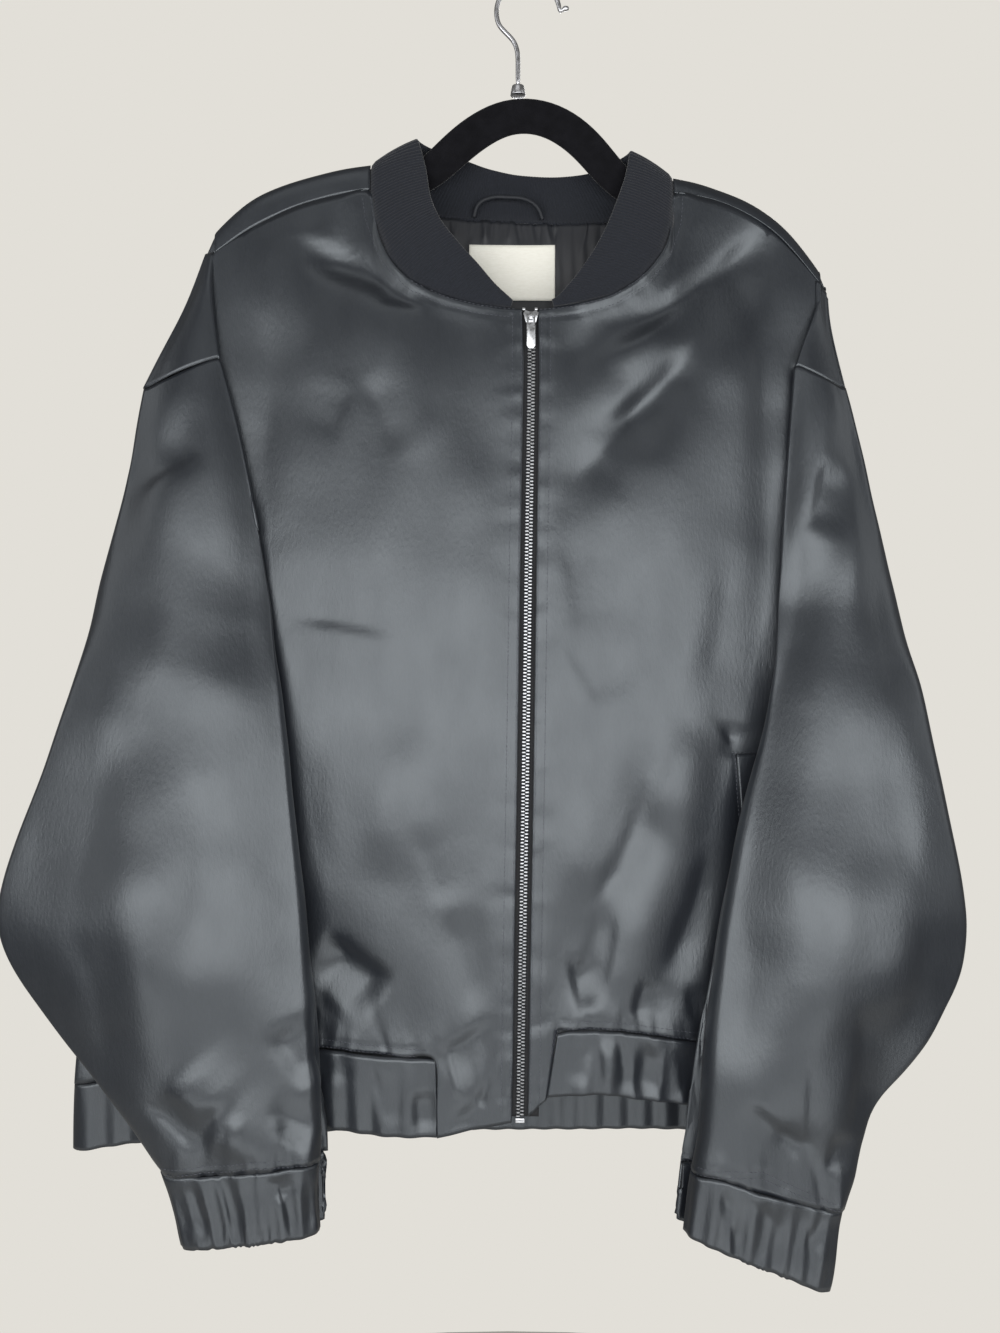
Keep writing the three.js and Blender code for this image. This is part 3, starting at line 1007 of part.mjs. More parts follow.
const PULL = {
  width: 6.4, slot: 3.8, thick: 1.3, top: 0.8, length: 24, corner: 2, slotLength: 4.6, barRadius: 0.65,
};
function pullSolid() {
  const half = PULL.width / 2;
  const plate = plateOf([
    [-half, PULL.top], [-half, PULL.corner - PULL.length], [-half + 0.8 * PULL.corner, -PULL.length],
    [half - 0.8 * PULL.corner, -PULL.length], [half, PULL.corner - PULL.length], [half, PULL.top],
  ], PULL.thick).translate(0, PULL.thick / 2, 0);
  const slot = block([PULL.slot, 2 * PULL.thick, PULL.slotLength + 2], [0, 0, 1 - PULL.slotLength / 2]);
  const bar = new THREE.CylinderGeometry(PULL.barRadius, PULL.barRadius, PULL.width, 12).rotateZ(Math.PI / 2);
  return solidOf(plate).subtract(solidOf(slot)).add(solidOf(bar)).translate(HINGE);
}
addPiece('zip_pull', fromManifold(pullSolid()), STEEL);

const TOP_STOP = { size: [2.4, 2.4, 2.2], off: 4.6, forward: 0.4 };
const FOOT_STOP = { size: [7, 2.6, 3.6], below: 2.2 };
const head = ZIP(ZIP_HEAD);
for (const [name, side] of [['right', -1], ['left', 1]]) {
  const centre = [head.x + side * TOP_STOP.off, head.y - TOP_STOP.forward, ZIP_HEAD];
  addPiece(`zip_top_stop_${name}`, block(TOP_STOP.size, centre), STEEL);
}
const foot = ZIP(ZIP_FOOT);
addPiece('zip_bottom_stop', block(FOOT_STOP.size, [foot.x, foot.y, ZIP_FOOT - FOOT_STOP.below]), STEEL);

// POCKET WELTS. One on each front, on its points moved out; the sleeves hang over most of them.
const WELT = { wall: 1.2, lift: 2, columns: 3, rows: 7, width: 24, top: -592, foot: -752 };
const WELTS = {
  right: table(['z', 'x'], [[-592, -182], [-655, -184], [-752, -186]]),
  left: table(['z', 'x'], [[-592, 156.5], [-655, 162], [-752, 165]]),
};
function frontSurface(name, x, z) {
  const { grid } = fronts[name];
  const rows = grid.filter((row) => row[0] && row[BODY_STEPS] && row[0][2] < UNDERARM_Z);
  const i = Math.max(1, rows.findIndex((row) => row[0][2] <= z));
  const [upper, lower] = [rows[i - 1], rows[i]];
  const down = (upper[0][2] - z) / (upper[0][2] - lower[0][2]);
  const at = (row) => {
    const points = row.filter(Boolean);
    const isPast = (p) => Math.abs(p[0]) >= Math.abs(x) && Math.sign(p[0]) === Math.sign(x);
    const c = Math.max(1, points.findIndex(isPast));
    const t = (x - points[c - 1][0]) / (points[c][0] - points[c - 1][0]);
    return lerp(points[c - 1][1], points[c][1], t);
  };
  return lerp(at(upper), at(lower), down);
}
for (const [name, side] of [['right', -1], ['left', 1]]) {
  const grid = Array.from({ length: WELT.rows }, (_, r) => {
    const z = lerp(WELT.top, WELT.foot, r / (WELT.rows - 1));
    return Array.from({ length: WELT.columns }, (_, c) => {
      const x = WELTS[name](z).x + (side * WELT.width * c) / (WELT.columns - 1);
      return [x, frontSurface(name, x, z) - WELT.lift, z];
    });
  });
  addPiece(`pocket_welt_${name}`, wall(grid, { thick: WELT.wall, facing: () => ACROSS_Y }), SATIN);
}

// HANGER. A flat velvet bar with a wire hook in a ferrule; it stays still while the jacket hangs.
const HANGER_COLUMNS = ['x', 'z', 'half'];
const HANGER_BAR = [
  [-228, -198.1, 3], [-226, -196.6, 6.5], [-219, -192.1, 9], [-190, -175.1, 10], [-160, -163.6, 11],
  [-125, -160.1, 11.5], [-98, -156, 12], [-78, -149, 13], [-62, -134, 13.5], [-45, -118.5, 14], [-25, -106, 14],
  [-6, -101.5, 14], [14, -104, 14], [33, -114, 14], [49, -129, 13.5], [63, -147, 13], [79, -160.5, 12.5],
  [100, -168, 12], [125, -171.5, 11], [150, -177, 10.5], [175, -192.5, 10], [199, -211, 9], [205, -216, 6.5],
  [207, -217.6, 3],
];
const HANGER_HALF_WALL = 3;
const barPath = HANGER_BAR.map(([x, z]) => [x, 0, z]);
const BAR_CORNERS = [90, 45, 0, -45, -90, -90, -135, 180, 135, 90];   // degrees round the flat bar's section
const BAR_TIP_FLAT = 0.05;  // keeps the two halves of the tip's round section apart
const barRings = HANGER_BAR.map((row, i) => {
  const half = row[HANGER_COLUMNS.indexOf('half')];
  const run = unit(minus(barPath[Math.min(i + 1, barPath.length - 1)], barPath[Math.max(i - 1, 0)]));
  const up = [-run[2], 0, run[0]];
  const radius = Math.min(HANGER_HALF_WALL, half);
  return BAR_CORNERS.map((degrees, k) => {
    const angle = (degrees * Math.PI) / 180;
    const [rise, y] = [Math.cos(angle) * radius, Math.sin(angle) * radius];
    const centre = Math.max(half - radius, BAR_TIP_FLAT) * (k < BAR_CORNERS.length / 2 ? 1 : -1);
    return plus(plus(barPath[i], up, centre + rise), [0, y, 0]);
  });
});
addPiece('hanger_bar', tube(barRings, barPath[0], barPath[barPath.length - 1]), VELVET);

const WIRE = 1.95;          // radius of the hook's wire
const HOOK_RADIUS = 24.55;
const SHANK_X = -7.7;
const FERRULE = { top: 4.6, foot: 6, height: 7.6, z: -83.1 };
addPiece(
  'hanger_ferrule',
  new THREE.CylinderGeometry(FERRULE.top, FERRULE.foot, FERRULE.height, 20).rotateX(Math.PI / 2)
    .translate(SHANK_X, 0, FERRULE.z),
  STEEL,
);
const HOOK_ARC = { from: 200, step: 14.4, points: 15 };   // degrees
const hookArc = Array.from({ length: HOOK_ARC.points }, (_, i) => {
  const angle = ((HOOK_ARC.from - HOOK_ARC.step * i) * Math.PI) / 180;
  return [HOOK_RADIUS * Math.cos(angle), 0, WIRE - HOOK_RADIUS + HOOK_RADIUS * Math.sin(angle)];
});
const hookLine = [
  [SHANK_X, 0, -79], [SHANK_X, 0, -66], ...curve([
    [SHANK_X, 0, -60], [SHANK_X - 0.6, 0, -52], [-11, 0, -45], [-18, 0, -37.5], [-22, 0, -33], hookArc[0],
  ], 9), ...hookArc.slice(1), [27.5, 0, -19.5], [29.5, 0, -19.8], [31.5, 0, -19.4],
];
const HOOK_TIP = [WIRE * 1.25, WIRE * 0.6];   // a small ball ends the wire
const hookRadii = hookLine.map((_, i) => HOOK_TIP[i - (hookLine.length - 2)] ?? WIRE);
addPiece('hanger_hook', cord(hookLine, hookRadii, 10), STEEL);

export default jacket;
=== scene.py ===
"""A satin bomber jacket on its velvet hanger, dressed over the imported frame. Metres, +Z up, front towards -Y."""
import math
import random

import bmesh
import bpy
import numpy as np
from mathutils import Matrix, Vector
from mathutils.bvhtree import BVHTree


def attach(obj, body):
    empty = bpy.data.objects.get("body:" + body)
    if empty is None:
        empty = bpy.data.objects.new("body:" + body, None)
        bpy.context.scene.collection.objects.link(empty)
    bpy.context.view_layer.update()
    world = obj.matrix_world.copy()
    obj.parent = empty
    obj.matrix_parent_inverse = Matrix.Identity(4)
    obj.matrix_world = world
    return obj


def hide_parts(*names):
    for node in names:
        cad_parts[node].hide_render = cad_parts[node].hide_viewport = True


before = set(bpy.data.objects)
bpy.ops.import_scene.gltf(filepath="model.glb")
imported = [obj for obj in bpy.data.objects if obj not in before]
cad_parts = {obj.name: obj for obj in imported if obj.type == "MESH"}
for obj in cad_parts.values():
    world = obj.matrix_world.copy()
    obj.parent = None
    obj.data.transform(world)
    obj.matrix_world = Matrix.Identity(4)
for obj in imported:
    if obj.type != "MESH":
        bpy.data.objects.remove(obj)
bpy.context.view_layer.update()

MM = 0.001

# CAMERA. A phone held level, one metre in front of the hanger's plane.
CAMERA_DISTANCE = 1.0
VIEW_HEIGHT = 1333 * 0.77 * MM  # the picture's long side in pixels, each 0.77 mm at the hanger's plane
VIEW_MIDDLE = (-21.56 * MM, -526.3 * MM)
SENSOR = 36  # mm


def placed(name, data):
    """A new object in the scene."""
    made = bpy.data.objects.new(name, data)
    bpy.context.scene.collection.objects.link(made)
    return made


camera_data = bpy.data.cameras.new("camera")
camera_data.sensor_width = SENSOR
camera_data.lens = SENSOR * CAMERA_DISTANCE / VIEW_HEIGHT
camera = placed("camera", camera_data)
camera.location = (VIEW_MIDDLE[0], -CAMERA_DISTANCE, VIEW_MIDDLE[1])
camera.rotation_euler = (math.pi / 2, 0, 0)
bpy.context.scene.camera = camera

# HANGER LOOP. A cord of the jacket's own satin at the back of the neck, from which it can be hung. Both ends
# are caught in the seam under the rib collar.
LOOP_RADIUS = 1.7 * MM
LOOP_ROUTE = [
    (-42, 13.5, -175.6), (-38.5, 12, -166.5), (-30, 11.5, -161.6), (-15, 11.2, -161), (-1.3, 11.5, -162.6),
    (7.5, 12, -168.5), (11.7, 13.9, -177),
]


def linear(code):
    """A hex colour as linear red, green, blue and alpha."""
    parts = [int(code[i:i + 2], 16) / 255 for i in (1, 3, 5)]
    return [*(v / 12.92 if v <= 0.04045 else ((v + 0.055) / 1.055) ** 2.4 for v in parts), 1.0]


def add(tree, kind, inputs=None, **settings):
    """A node with its settings, and each input linked or set."""
    made = tree.nodes.new(kind)
    for key, value in settings.items():
        setattr(made, key, value)
    for key, value in (inputs or {}).items():
        if isinstance(value, bpy.types.NodeSocket):
            tree.links.new(value, made.inputs[key])
        else:
            made.inputs[key].default_value = value
    return made


def finish_of(name, shader_inputs, bump=None, colour=None, roughness=None):
    """A material with one Principled shader. bump, colour and roughness are functions that take its tree and
    give a socket."""
    made = bpy.data.materials.new(name)
    made.use_nodes = True
    tree = made.node_tree
    tree.nodes.clear()
    inputs = dict(shader_inputs)
    if colour:
        inputs["Base Color"] = colour(tree)
    if roughness:
        inputs["Roughness"] = roughness(tree)
    if bump:
        inputs["Normal"] = bump(tree)
    shader = add(tree, "ShaderNodeBsdfPrincipled", inputs)
    add(tree, "ShaderNodeOutputMaterial", {"Surface": shader.outputs["BSDF"]})
    made.diffuse_color = linear("#2a2c33")
    return made


def grain(tree, stretch, scale, detail=2.0, roughness=0.5):
    """Noise on object coordinates, stretched along the axes."""
    place = add(tree, "ShaderNodeTexCoord")
    turned = add(tree, "ShaderNodeMapping", {"Vector": place.outputs["Object"], "Scale": stretch})
    return add(tree, "ShaderNodeTexNoise", {
        "Vector": turned.outputs["Vector"], "Scale": scale, "Detail": detail, "Roughness": roughness,
    }).outputs["Fac"]


def two_tones(dark, light, span, stretch=(1, 1, 1), detail=2.0, roughness=0.5):
    """A colour: two close tones of one dye, mixed by a grain of that span."""
    def colour(tree):
        share = grain(tree, stretch, 1 / span, detail, roughness)
        return add(tree, "ShaderNodeMix", {
            "Factor": share, "A": linear(dark), "B": linear(light),
        }, data_type="RGBA").outputs["Result"]
    return colour


def satin_roughness(tree):
    """The floats of the weave lie smoother in some places than in others."""
    patches = grain(tree, (1, 1, 0.5), 1 / (30 * MM), 3.0)
    return add(tree, "ShaderNodeMapRange", {
        "Value": patches, "From Min": 0.3, "From Max": 0.7, "To Min": 0.33, "To Max": 0.41,
    }).outputs["Result"]


def satin_bump(tree):
    """Warp threads, drawn 2.2 mm apart so that they show, over the slight facets of crushed cloth."""
    threads = grain(tree, (1, 1, 0.4), 1 / (2.2 * MM), 3.0, 0.65)
    first = add(tree, "ShaderNodeBump", {"Strength": 0.6, "Distance": 0.3 * MM, "Height": threads})
    place = add(tree, "ShaderNodeTexCoord").outputs["Object"]
    wander = grain(tree, (1, 1, 1), 1 / (60 * MM), 1.0)
    amount = add(tree, "ShaderNodeMath", {0: wander, 1: 40 * MM}, operation="MULTIPLY")
    swayed = add(tree, "ShaderNodeVectorMath", {0: place, 1: amount.outputs[0]}, operation="ADD")
    turned = add(tree, "ShaderNodeMapping", {
        "Vector": swayed.outputs[0], "Rotation": (0, math.radians(24), 0), "Scale": (1, 0.6, 0.42),
    })
    facets = add(tree, "ShaderNodeTexVoronoi", {
        "Vector": turned.outputs["Vector"], "Scale": 1 / (62 * MM), "Smoothness": 0.35,
    }, feature="SMOOTH_F1")
    return add(tree, "ShaderNodeBump", {
        "Strength": 0.3, "Distance": 5.5 * MM,
        "Height": facets.outputs["Distance"], "Normal": first.outputs["Normal"],
    }).outputs["Normal"]


# Duchess satin of blue-black polyester filament: near black when it tilts away, a broad grey gloss where it
# faces the light. Its dye is a little uneven from thread to thread.
satin_colour = two_tones("#14171d", "#24272d", 1.7 * MM, (1, 1, 0.35), 3.0, 0.7)
SATIN = finish_of("duchess_satin_polyester_woven", {
    "Specular IOR Level": 1.0, "Specular Tint": linear("#eff7fc"), "Sheen Weight": 0.04, "Sheen Roughness": 0.4,
}, satin_bump, satin_colour, satin_roughness)

# The same satin rolled on the bias, whose threads catch less light.
SATIN_CORD = finish_of("satin_cord_rolled", {
    "Specular IOR Level": 0.4, "Roughness": 0.6,
}, satin_bump, satin_colour)

loop_curve = bpy.data.curves.new("hanger_loop_cord", "CURVE")
loop_curve.dimensions = "3D"
loop_curve.bevel_depth = LOOP_RADIUS
loop_curve.bevel_resolution = 4
loop_curve.resolution_u = 10
loop_curve.use_fill_caps = True
route = loop_curve.splines.new("BEZIER")
route.bezier_points.add(len(LOOP_ROUTE) - 1)
for knot, point in zip(route.bezier_points, LOOP_ROUTE):
    knot.co = Vector(point) * MM
    knot.handle_left_type = knot.handle_right_type = "AUTO"
loop_curve.materials.append(SATIN_CORD)
loop = placed("hanger_loop_cord", loop_curve)
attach(loop, "jacket")
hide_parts("hanger_loop")
loop_exit = [value * MM for value in LOOP_ROUTE[0]]

# FRONTS. Two panels of dark duchess satin, cut in one with the drop of the shoulder, sewn to the zip, the rib
# collar, the sleeves, the side seams and the hem band. They hang soft, with creases from the neck and the hem.
SATIN_WALL = 1.5 * MM  # the solids' thickness
SATIN_THICK = 1.2 * MM  # satin with its lining, as drawn
CELL = 8.0 * MM  # cloth is cut this fine before its last smoothing, which halves it


def coordinates(mesh):
    flat = np.empty(3 * len(mesh.vertices))
    mesh.vertices.foreach_get("co", flat)
    return flat.reshape(-1, 3)


def solid_points(node):
    """The corners of a node's solid, in mm."""
    return coordinates(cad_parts[node].data) / MM


def normals_of(mesh):
    flat = np.empty(3 * len(mesh.vertices))
    mesh.vertex_normals.foreach_get("vector", flat)
    return flat.reshape(-1, 3)


def put_back(mesh, points):
    mesh.vertices.foreach_set("co", points.ravel())
    mesh.update()


def outer_wall(node, *thick, facing=None):
    """One face of a sewn piece's solid as quads: the one that looks along facing, or else the larger, outer
    one. The solid's rim, whose edges are as long as the cloth is thick, is left out. With two thicknesses, as
    on the ribs, some other edges are as long, so there a rim's edges must also stand up from the cloth."""
    sheet = bmesh.new()
    sheet.from_mesh(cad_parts[node].data)
    bmesh.ops.remove_doubles(sheet, verts=sheet.verts, dist=0.02 * MM)
    sheet.normal_update()
    upright = 0.4 if len(thick) > 1 else 0
    across = [
        edge for edge in sheet.edges
        if any(abs(edge.calc_length() - wall) < 0.004 * MM for wall in thick)
        and abs((edge.verts[1].co - edge.verts[0].co).normalized().dot(edge.verts[0].normal)) >= upright
    ]
    rim = {face for edge in across for face in edge.link_faces}
    bmesh.ops.delete(sheet, geom=list(rim), context="FACES")
    walls, seen = [], set()
    for face in sheet.faces:
        if face in seen:
            continue
        seen.add(face)
        wall, waiting = [], [face]
        while waiting:
            wall.append(waiting.pop())
            for near in {f for edge in wall[-1].edges for f in edge.link_faces} - seen:
                seen.add(near)
                waiting.append(near)
        walls.append(wall)
    way = Vector(facing or (0, 0, 0))
    score = [sum(f.calc_area() * (f.normal.dot(way) if facing else 1) for f in wall) for wall in walls]
    kept = walls[score.index(max(score))]
    others = [f for wall in walls if wall is not kept for f in wall]
    bmesh.ops.delete(sheet, geom=others, context="FACES")
    bmesh.ops.join_triangles(
        sheet, faces=sheet.faces, angle_face_threshold=math.pi, angle_shape_threshold=math.pi,
        topology_influence=2,
    )
    return sheet


def mesh_of(name, shape):
    """A mesh of an edited shape, which is then let go."""
    mesh = bpy.data.meshes.new(name)
    shape.to_mesh(mesh)
    shape.free()
    return mesh


def with_modifier(mesh, kind, **settings):
    """A copy of a mesh with one modifier applied."""
    holder = placed("holder", mesh)
    modifier = holder.modifiers.new("modifier", kind)
    for key, value in settings.items():
        setattr(modifier, key, value)
    done = bpy.data.meshes.new_from_object(holder.evaluated_get(bpy.context.evaluated_depsgraph_get()))
    bpy.data.objects.remove(holder)
    return done


def smoothed(mesh, levels):
    """A finer copy, by Blender's subdivision surface with its corners kept."""
    return with_modifier(
        mesh, "SUBSURF", levels=levels, render_levels=levels, boundary_smooth="PRESERVE_CORNERS",
    )


def cut_strips(sheet, cell, upright):
    """Cuts across the strips of quads whose sides are longer than a cell: the upright ones, or the others."""
    strip_of = {}
    cuts = {}
    for start in sheet.edges:
        if start in strip_of:
            continue
        strip, waiting = [start], [start]
        strip_of[start] = strip
        while waiting:
            edge = waiting.pop()
            for face in edge.link_faces:
                for far in face.edges:
                    opposite = len(face.edges) == 4 and not set(far.verts) & set(edge.verts)
                    if opposite and far not in strip_of:
                        strip_of[far] = strip
                        strip.append(far)
                        waiting.append(far)
        span = sum(edge.calc_length() for edge in strip) / len(strip)
        rise = sum(abs(edge.verts[0].co.z - edge.verts[1].co.z) for edge in strip) / len(strip)
        count = round(span / cell) - 1
        if count > 0 and (rise > 0.7 * span) == upright:
            cuts.setdefault(min(count, 4), []).extend(strip)
    for count, edges in cuts.items():
        bmesh.ops.subdivide_edges(sheet, edges=edges, cuts=count, use_grid_fill=True)


FITS = 3  # rounds in which the coarse cloth is drawn to the solid's own corners


def fine_cloth(sheet, cell=CELL):
    """The smooth cloth through the corners of a coarse one, in even cells of about half the size given."""
    mesh = mesh_of("cloth", sheet)
    goal = coordinates(mesh)
    for _ in range(FITS):
        reached = coordinates(smoothed(mesh, 1))[:len(goal)]
        put_back(mesh, coordinates(mesh) + goal - reached)
    cut = bmesh.new()
    cut.from_mesh(smoothed(mesh, 2))
    for upright in (True, False):
        cut_strips(cut, cell, upright)
    cut.to_mesh(mesh)
    cut.free()
    return smoothed(mesh, 1)


def soft_step(value):
    t = np.clip(value, 0, 1)
    return t * t * (3 - 2 * t)


STEEP_SIDE = 0.85  # shares of a fold's width
GENTLE_SIDE = 2.6


def troughs(at, folds):
    """How deep the folds of a table lie at each point. A fold runs from (x1, z1) to (x2, z2), bowed sideways.
    Its bottom is depth deep and fades at both ends; one side is steep and the other runs out gently."""
    total = np.zeros(len(at))
    for x1, z1, x2, z2, bow, width, depth in folds:
        run = np.array([x2 - x1, z2 - z1], float)
        span = np.hypot(*run)
        across = np.array([-run[1], run[0]]) / span
        offset = at[:, [0, 2]] - (x1, z1)
        t = offset @ run / span ** 2
        off = (offset @ across - 4 * bow * t * (1 - t)) / width
        off /= np.where(off * (1 if bow >= 0 else -1) < 0, STEEP_SIDE, GENTLE_SIDE)
        fade = soft_step(t / 0.35) * soft_step((1 - t) / 0.35)
        total += depth * fade * np.exp(-off ** 2)
    return total


def puckers(away, along, seed, spacing, reach, height):
    """Short ridges that run off a seam, uneven in place, width, length, height and lean. away is each point's
    distance from the seam and along its place on it."""
    draw = random.Random(seed)
    total = np.zeros(len(away))
    near = (away > -2 * spacing) & (away < 2.6 * reach)
    low, high = along[near].min(), along[near].max()
    place = low
    while place < high:
        place += spacing * draw.uniform(0.55, 1.5)
        width, long = spacing * draw.uniform(0.16, 0.34), reach * draw.uniform(0.35, 1.25)
        rise, lean = height * draw.uniform(-1.0, 1.0), draw.uniform(-0.35, 0.35)
        off = (along[near] - place - lean * away[near]) / (width * (1 + away[near].clip(0) / reach))
        total[near] += rise * np.exp(-off ** 2 - (away[near].clip(0) / long) ** 2)
    return total


def drift(at, seed, span, height, upright=1.8):
    """A slow unevenness of hanging cloth: a few waves of about that span, longer up and down than across."""
    draw = random.Random(seed)
    total = np.zeros(len(at))
    for _ in range(7):
        turn, size = draw.uniform(0, math.tau), span * draw.uniform(0.6, 1.7)
        shift = draw.uniform(0, math.tau)
        way = np.array([math.cos(turn), 0, math.sin(turn) / upright])
        bend = 1.3 * np.sin(at @ np.array([0.011, 0, 0.017]) + shift)
        total += np.sin(at @ way * math.tau / size + shift + bend)
    return height * total / 3


GROOVE = (1.5, 0.55)  # width and depth, in mm


def groove(at, lines):
    """The dent that a line of stitches pulls into the cloth. Each line is a list of (x, z)."""
    width, depth = GROOVE
    total = np.zeros(len(at))
    for line in lines:
        nearest = np.full(len(at), 1e9)
        for (x1, z1), (x2, z2) in zip(line, line[1:]):
            run = np.array([x2 - x1, z2 - z1], float)
            offset = at[:, [0, 2]] - (x1, z1)
            t = np.clip(offset @ run / (run @ run), 0, 1)
            nearest = np.minimum(nearest, np.hypot(*(offset - np.outer(t, run)).T))
        total += depth * np.exp(-(nearest / width) ** 2)
    return total


def ray_tree(mesh):
    return BVHTree.FromPolygons(coordinates(mesh).tolist(), [list(face.vertices) for face in mesh.polygons])


LAYER_STEP = 5.0  # mm behind the first layer from which cloth begins to count as a layer behind


def top_layer(mesh, side=-1):
    """1 where the cloth is the first layer met from the front (side -1) or back (side 1), 0 behind that."""
    points = coordinates(mesh)
    tree = ray_tree(mesh)
    way = Vector((0, -side, 0))
    hits = [tree.ray_cast(Vector((x, side, z)), way)[0] for x, _, z in points]
    first = np.array([hit.y if hit else y for hit, y in zip(hits, points[:, 1])])
    return 1 - soft_step((side * (first - points[:, 1]) / MM - LAYER_STEP) / LAYER_STEP)


def shaped(mesh, depth):
    """Sinks each point by that many millimetres, against the cloth's own direction."""
    put_back(mesh, coordinates(mesh) - normals_of(mesh) * depth[:, None] * MM)
    return mesh


def piece(name, mesh, material, body="jacket", nodes=()):
    """A finished piece at the origin, that rides on its body in place of its CAD nodes."""
    mesh.name = name
    mesh.materials.clear()
    mesh.materials.append(material)
    mesh.shade_smooth()
    made = placed(name, mesh)
    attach(made, body)
    if nodes:
        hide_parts(*nodes)
    return made


def thickened(mesh, thick):
    """A copy with the cloth's other face, inward, joined to it around the edges."""
    return with_modifier(mesh, "SOLIDIFY", thickness=thick, offset=-1, use_even_offset=False)


def relaxed(mesh, share, rounds):
    """Evens the cloth out by that share at each point, over so many rounds."""
    points = coordinates(mesh)
    pairs = np.array([edge.vertices[:] for edge in mesh.edges])
    uses = np.bincount([loop.edge_index for loop in mesh.loops], minlength=len(pairs))
    on_rim = np.zeros(len(points), bool)
    on_rim[pairs[uses == 1]] = True
    to, near = np.concatenate([pairs, pairs[:, ::-1]]).T
    kept = ~on_rim[to] | np.tile(uses == 1, 2)  # the rim is evened out along itself alone
    to, near = to[kept], near[kept]
    count = np.bincount(to, minlength=len(points))
    for _ in range(rounds):
        around = np.stack([np.bincount(to, points[near, i], len(points)) / count for i in range(3)], 1)
        bend = np.linalg.norm(around - points, axis=1, keepdims=True)
        corner = on_rim[:, None] & (bend > 0.4 * MM)
        points += np.where(corner, 0, 0.5 * share[:, None] * (around - points))
    put_back(mesh, points)


SIDES = {"right": -1, "left": 1}  # the wearer's, and which way each lies along X
UNDERARM_Z = -478  # mm, where the solids' rows lie close together


def evened_underarm(mesh, span, rounds, share=1):
    """Evens out the cloth over that span above and below the underarm, and gives its points in mm."""
    at = coordinates(mesh) / MM
    relaxed(mesh, share * np.exp(-((at[:, 2] - UNDERARM_Z) / span) ** 4), rounds)
    return coordinates(mesh) / MM


def satin_piece(node, mesh, thick=SATIN_THICK):
    """The piece of satin in place of that node."""
    return piece(f"{node}_satin", thickened(mesh, thick), SATIN, nodes=[node])


teeth_points = {name: solid_points(f"zip_teeth_{name}") for name in SIDES}
zip_heights = sorted({round(z, 2) for z in teeth_points["right"][:, 2]})
zip_middle = []
zip_depth = []
for height in zip_heights:
    edges = {name: points[np.abs(points[:, 2] - height) < 0.02] for name, points in teeth_points.items()}
    zip_middle.append((edges["right"][:, 0].max() + edges["left"][:, 0].min()) / 2)
    zip_depth.append(edges["right"][:, 1].mean())
zip_x = np.polynomial.Polynomial.fit(zip_heights, zip_middle, 6)  # where the zip's middle line runs, in mm
zip_y = np.polynomial.Polynomial.fit(zip_heights, zip_depth, 6)

NECK_MIDDLE = (-5, -150)  # the middle of the neck hole, from which the neckline is measured
NECK_BACK_Y = 3  # mm, behind which the collar belongs to the back
NECK_RADIUS = 110  # mm, which turns angles around the neck into lengths
TURN_REACH = 0.04  # radians to each side that count as one place on the neckline
collar_points = solid_points("collar")
collar_turn = np.arctan2(collar_points[:, 0] - NECK_MIDDLE[0], -(collar_points[:, 2] - NECK_MIDDLE[1]))
collar_reach = np.hypot(collar_points[:, 0] - NECK_MIDDLE[0], collar_points[:, 2] - NECK_MIDDLE[1])
in_front = collar_points[:, 1] < NECK_BACK_Y
neck_turns = []
neck_reach = []
for turn in np.linspace(-1.7, 1.7, 69):
    here = in_front & (np.abs(collar_turn - turn) < TURN_REACH)
    if here.any():
        neck_turns.append(turn)
        neck_reach.append(collar_reach[here].max())


def from_neckline(at):
    """Distance of points from the collar's seam, in front view, and their place along it."""
    turn = np.arctan2(at[:, 0] - NECK_MIDDLE[0], -(at[:, 2] - NECK_MIDDLE[1]))
    reach = np.hypot(at[:, 0] - NECK_MIDDLE[0], at[:, 2] - NECK_MIDDLE[1])
    return reach - np.interp(turn, neck_turns, neck_reach), turn * NECK_RADIUS


NECK_LINE = (0.06, 1.45, 40)  # first turn, last turn and number of points


def neck_line(off, side):
    """A line (x, z) that runs beside the neckline at that distance."""
    turns = side * np.linspace(*NECK_LINE)
    reach = np.interp(turns, neck_turns, neck_reach) + off
    return [
        (NECK_MIDDLE[0] + r * math.sin(t), NECK_MIDDLE[1] - r * math.cos(t)) for t, r in zip(turns, reach)
    ]


def hem_seam(part):
    """Height of the hem band's upper edge over x, in mm, on the front or back of the body."""
    band = solid_points("hem_band")
    band = band[(band[:, 1] < 0) if part == "front" else (band[:, 1] > 4)]
    stations = [x for x in np.arange(-345, 246, 5.0) if (np.abs(band[:, 0] - x) < 6).any()]
    return stations, [band[np.abs(band[:, 0] - x) < 6][:, 2].max() for x in stations]


front_hem_x, front_hem_z = hem_seam("front")
back_hem_x, back_hem_z = hem_seam("back")
BAND_STRIP = 5.0  # mm, the seam allowance over the hem band, sewn down as a narrow strip


def above_hem(xs, seam_x, seam_z):
    """The two lines (x, z) of stitches that hold the seam allowance down."""
    return [[(x, np.interp(x, seam_x, seam_z) + off) for x in xs] for off in (1.6, 1.6 + BAND_STRIP)]


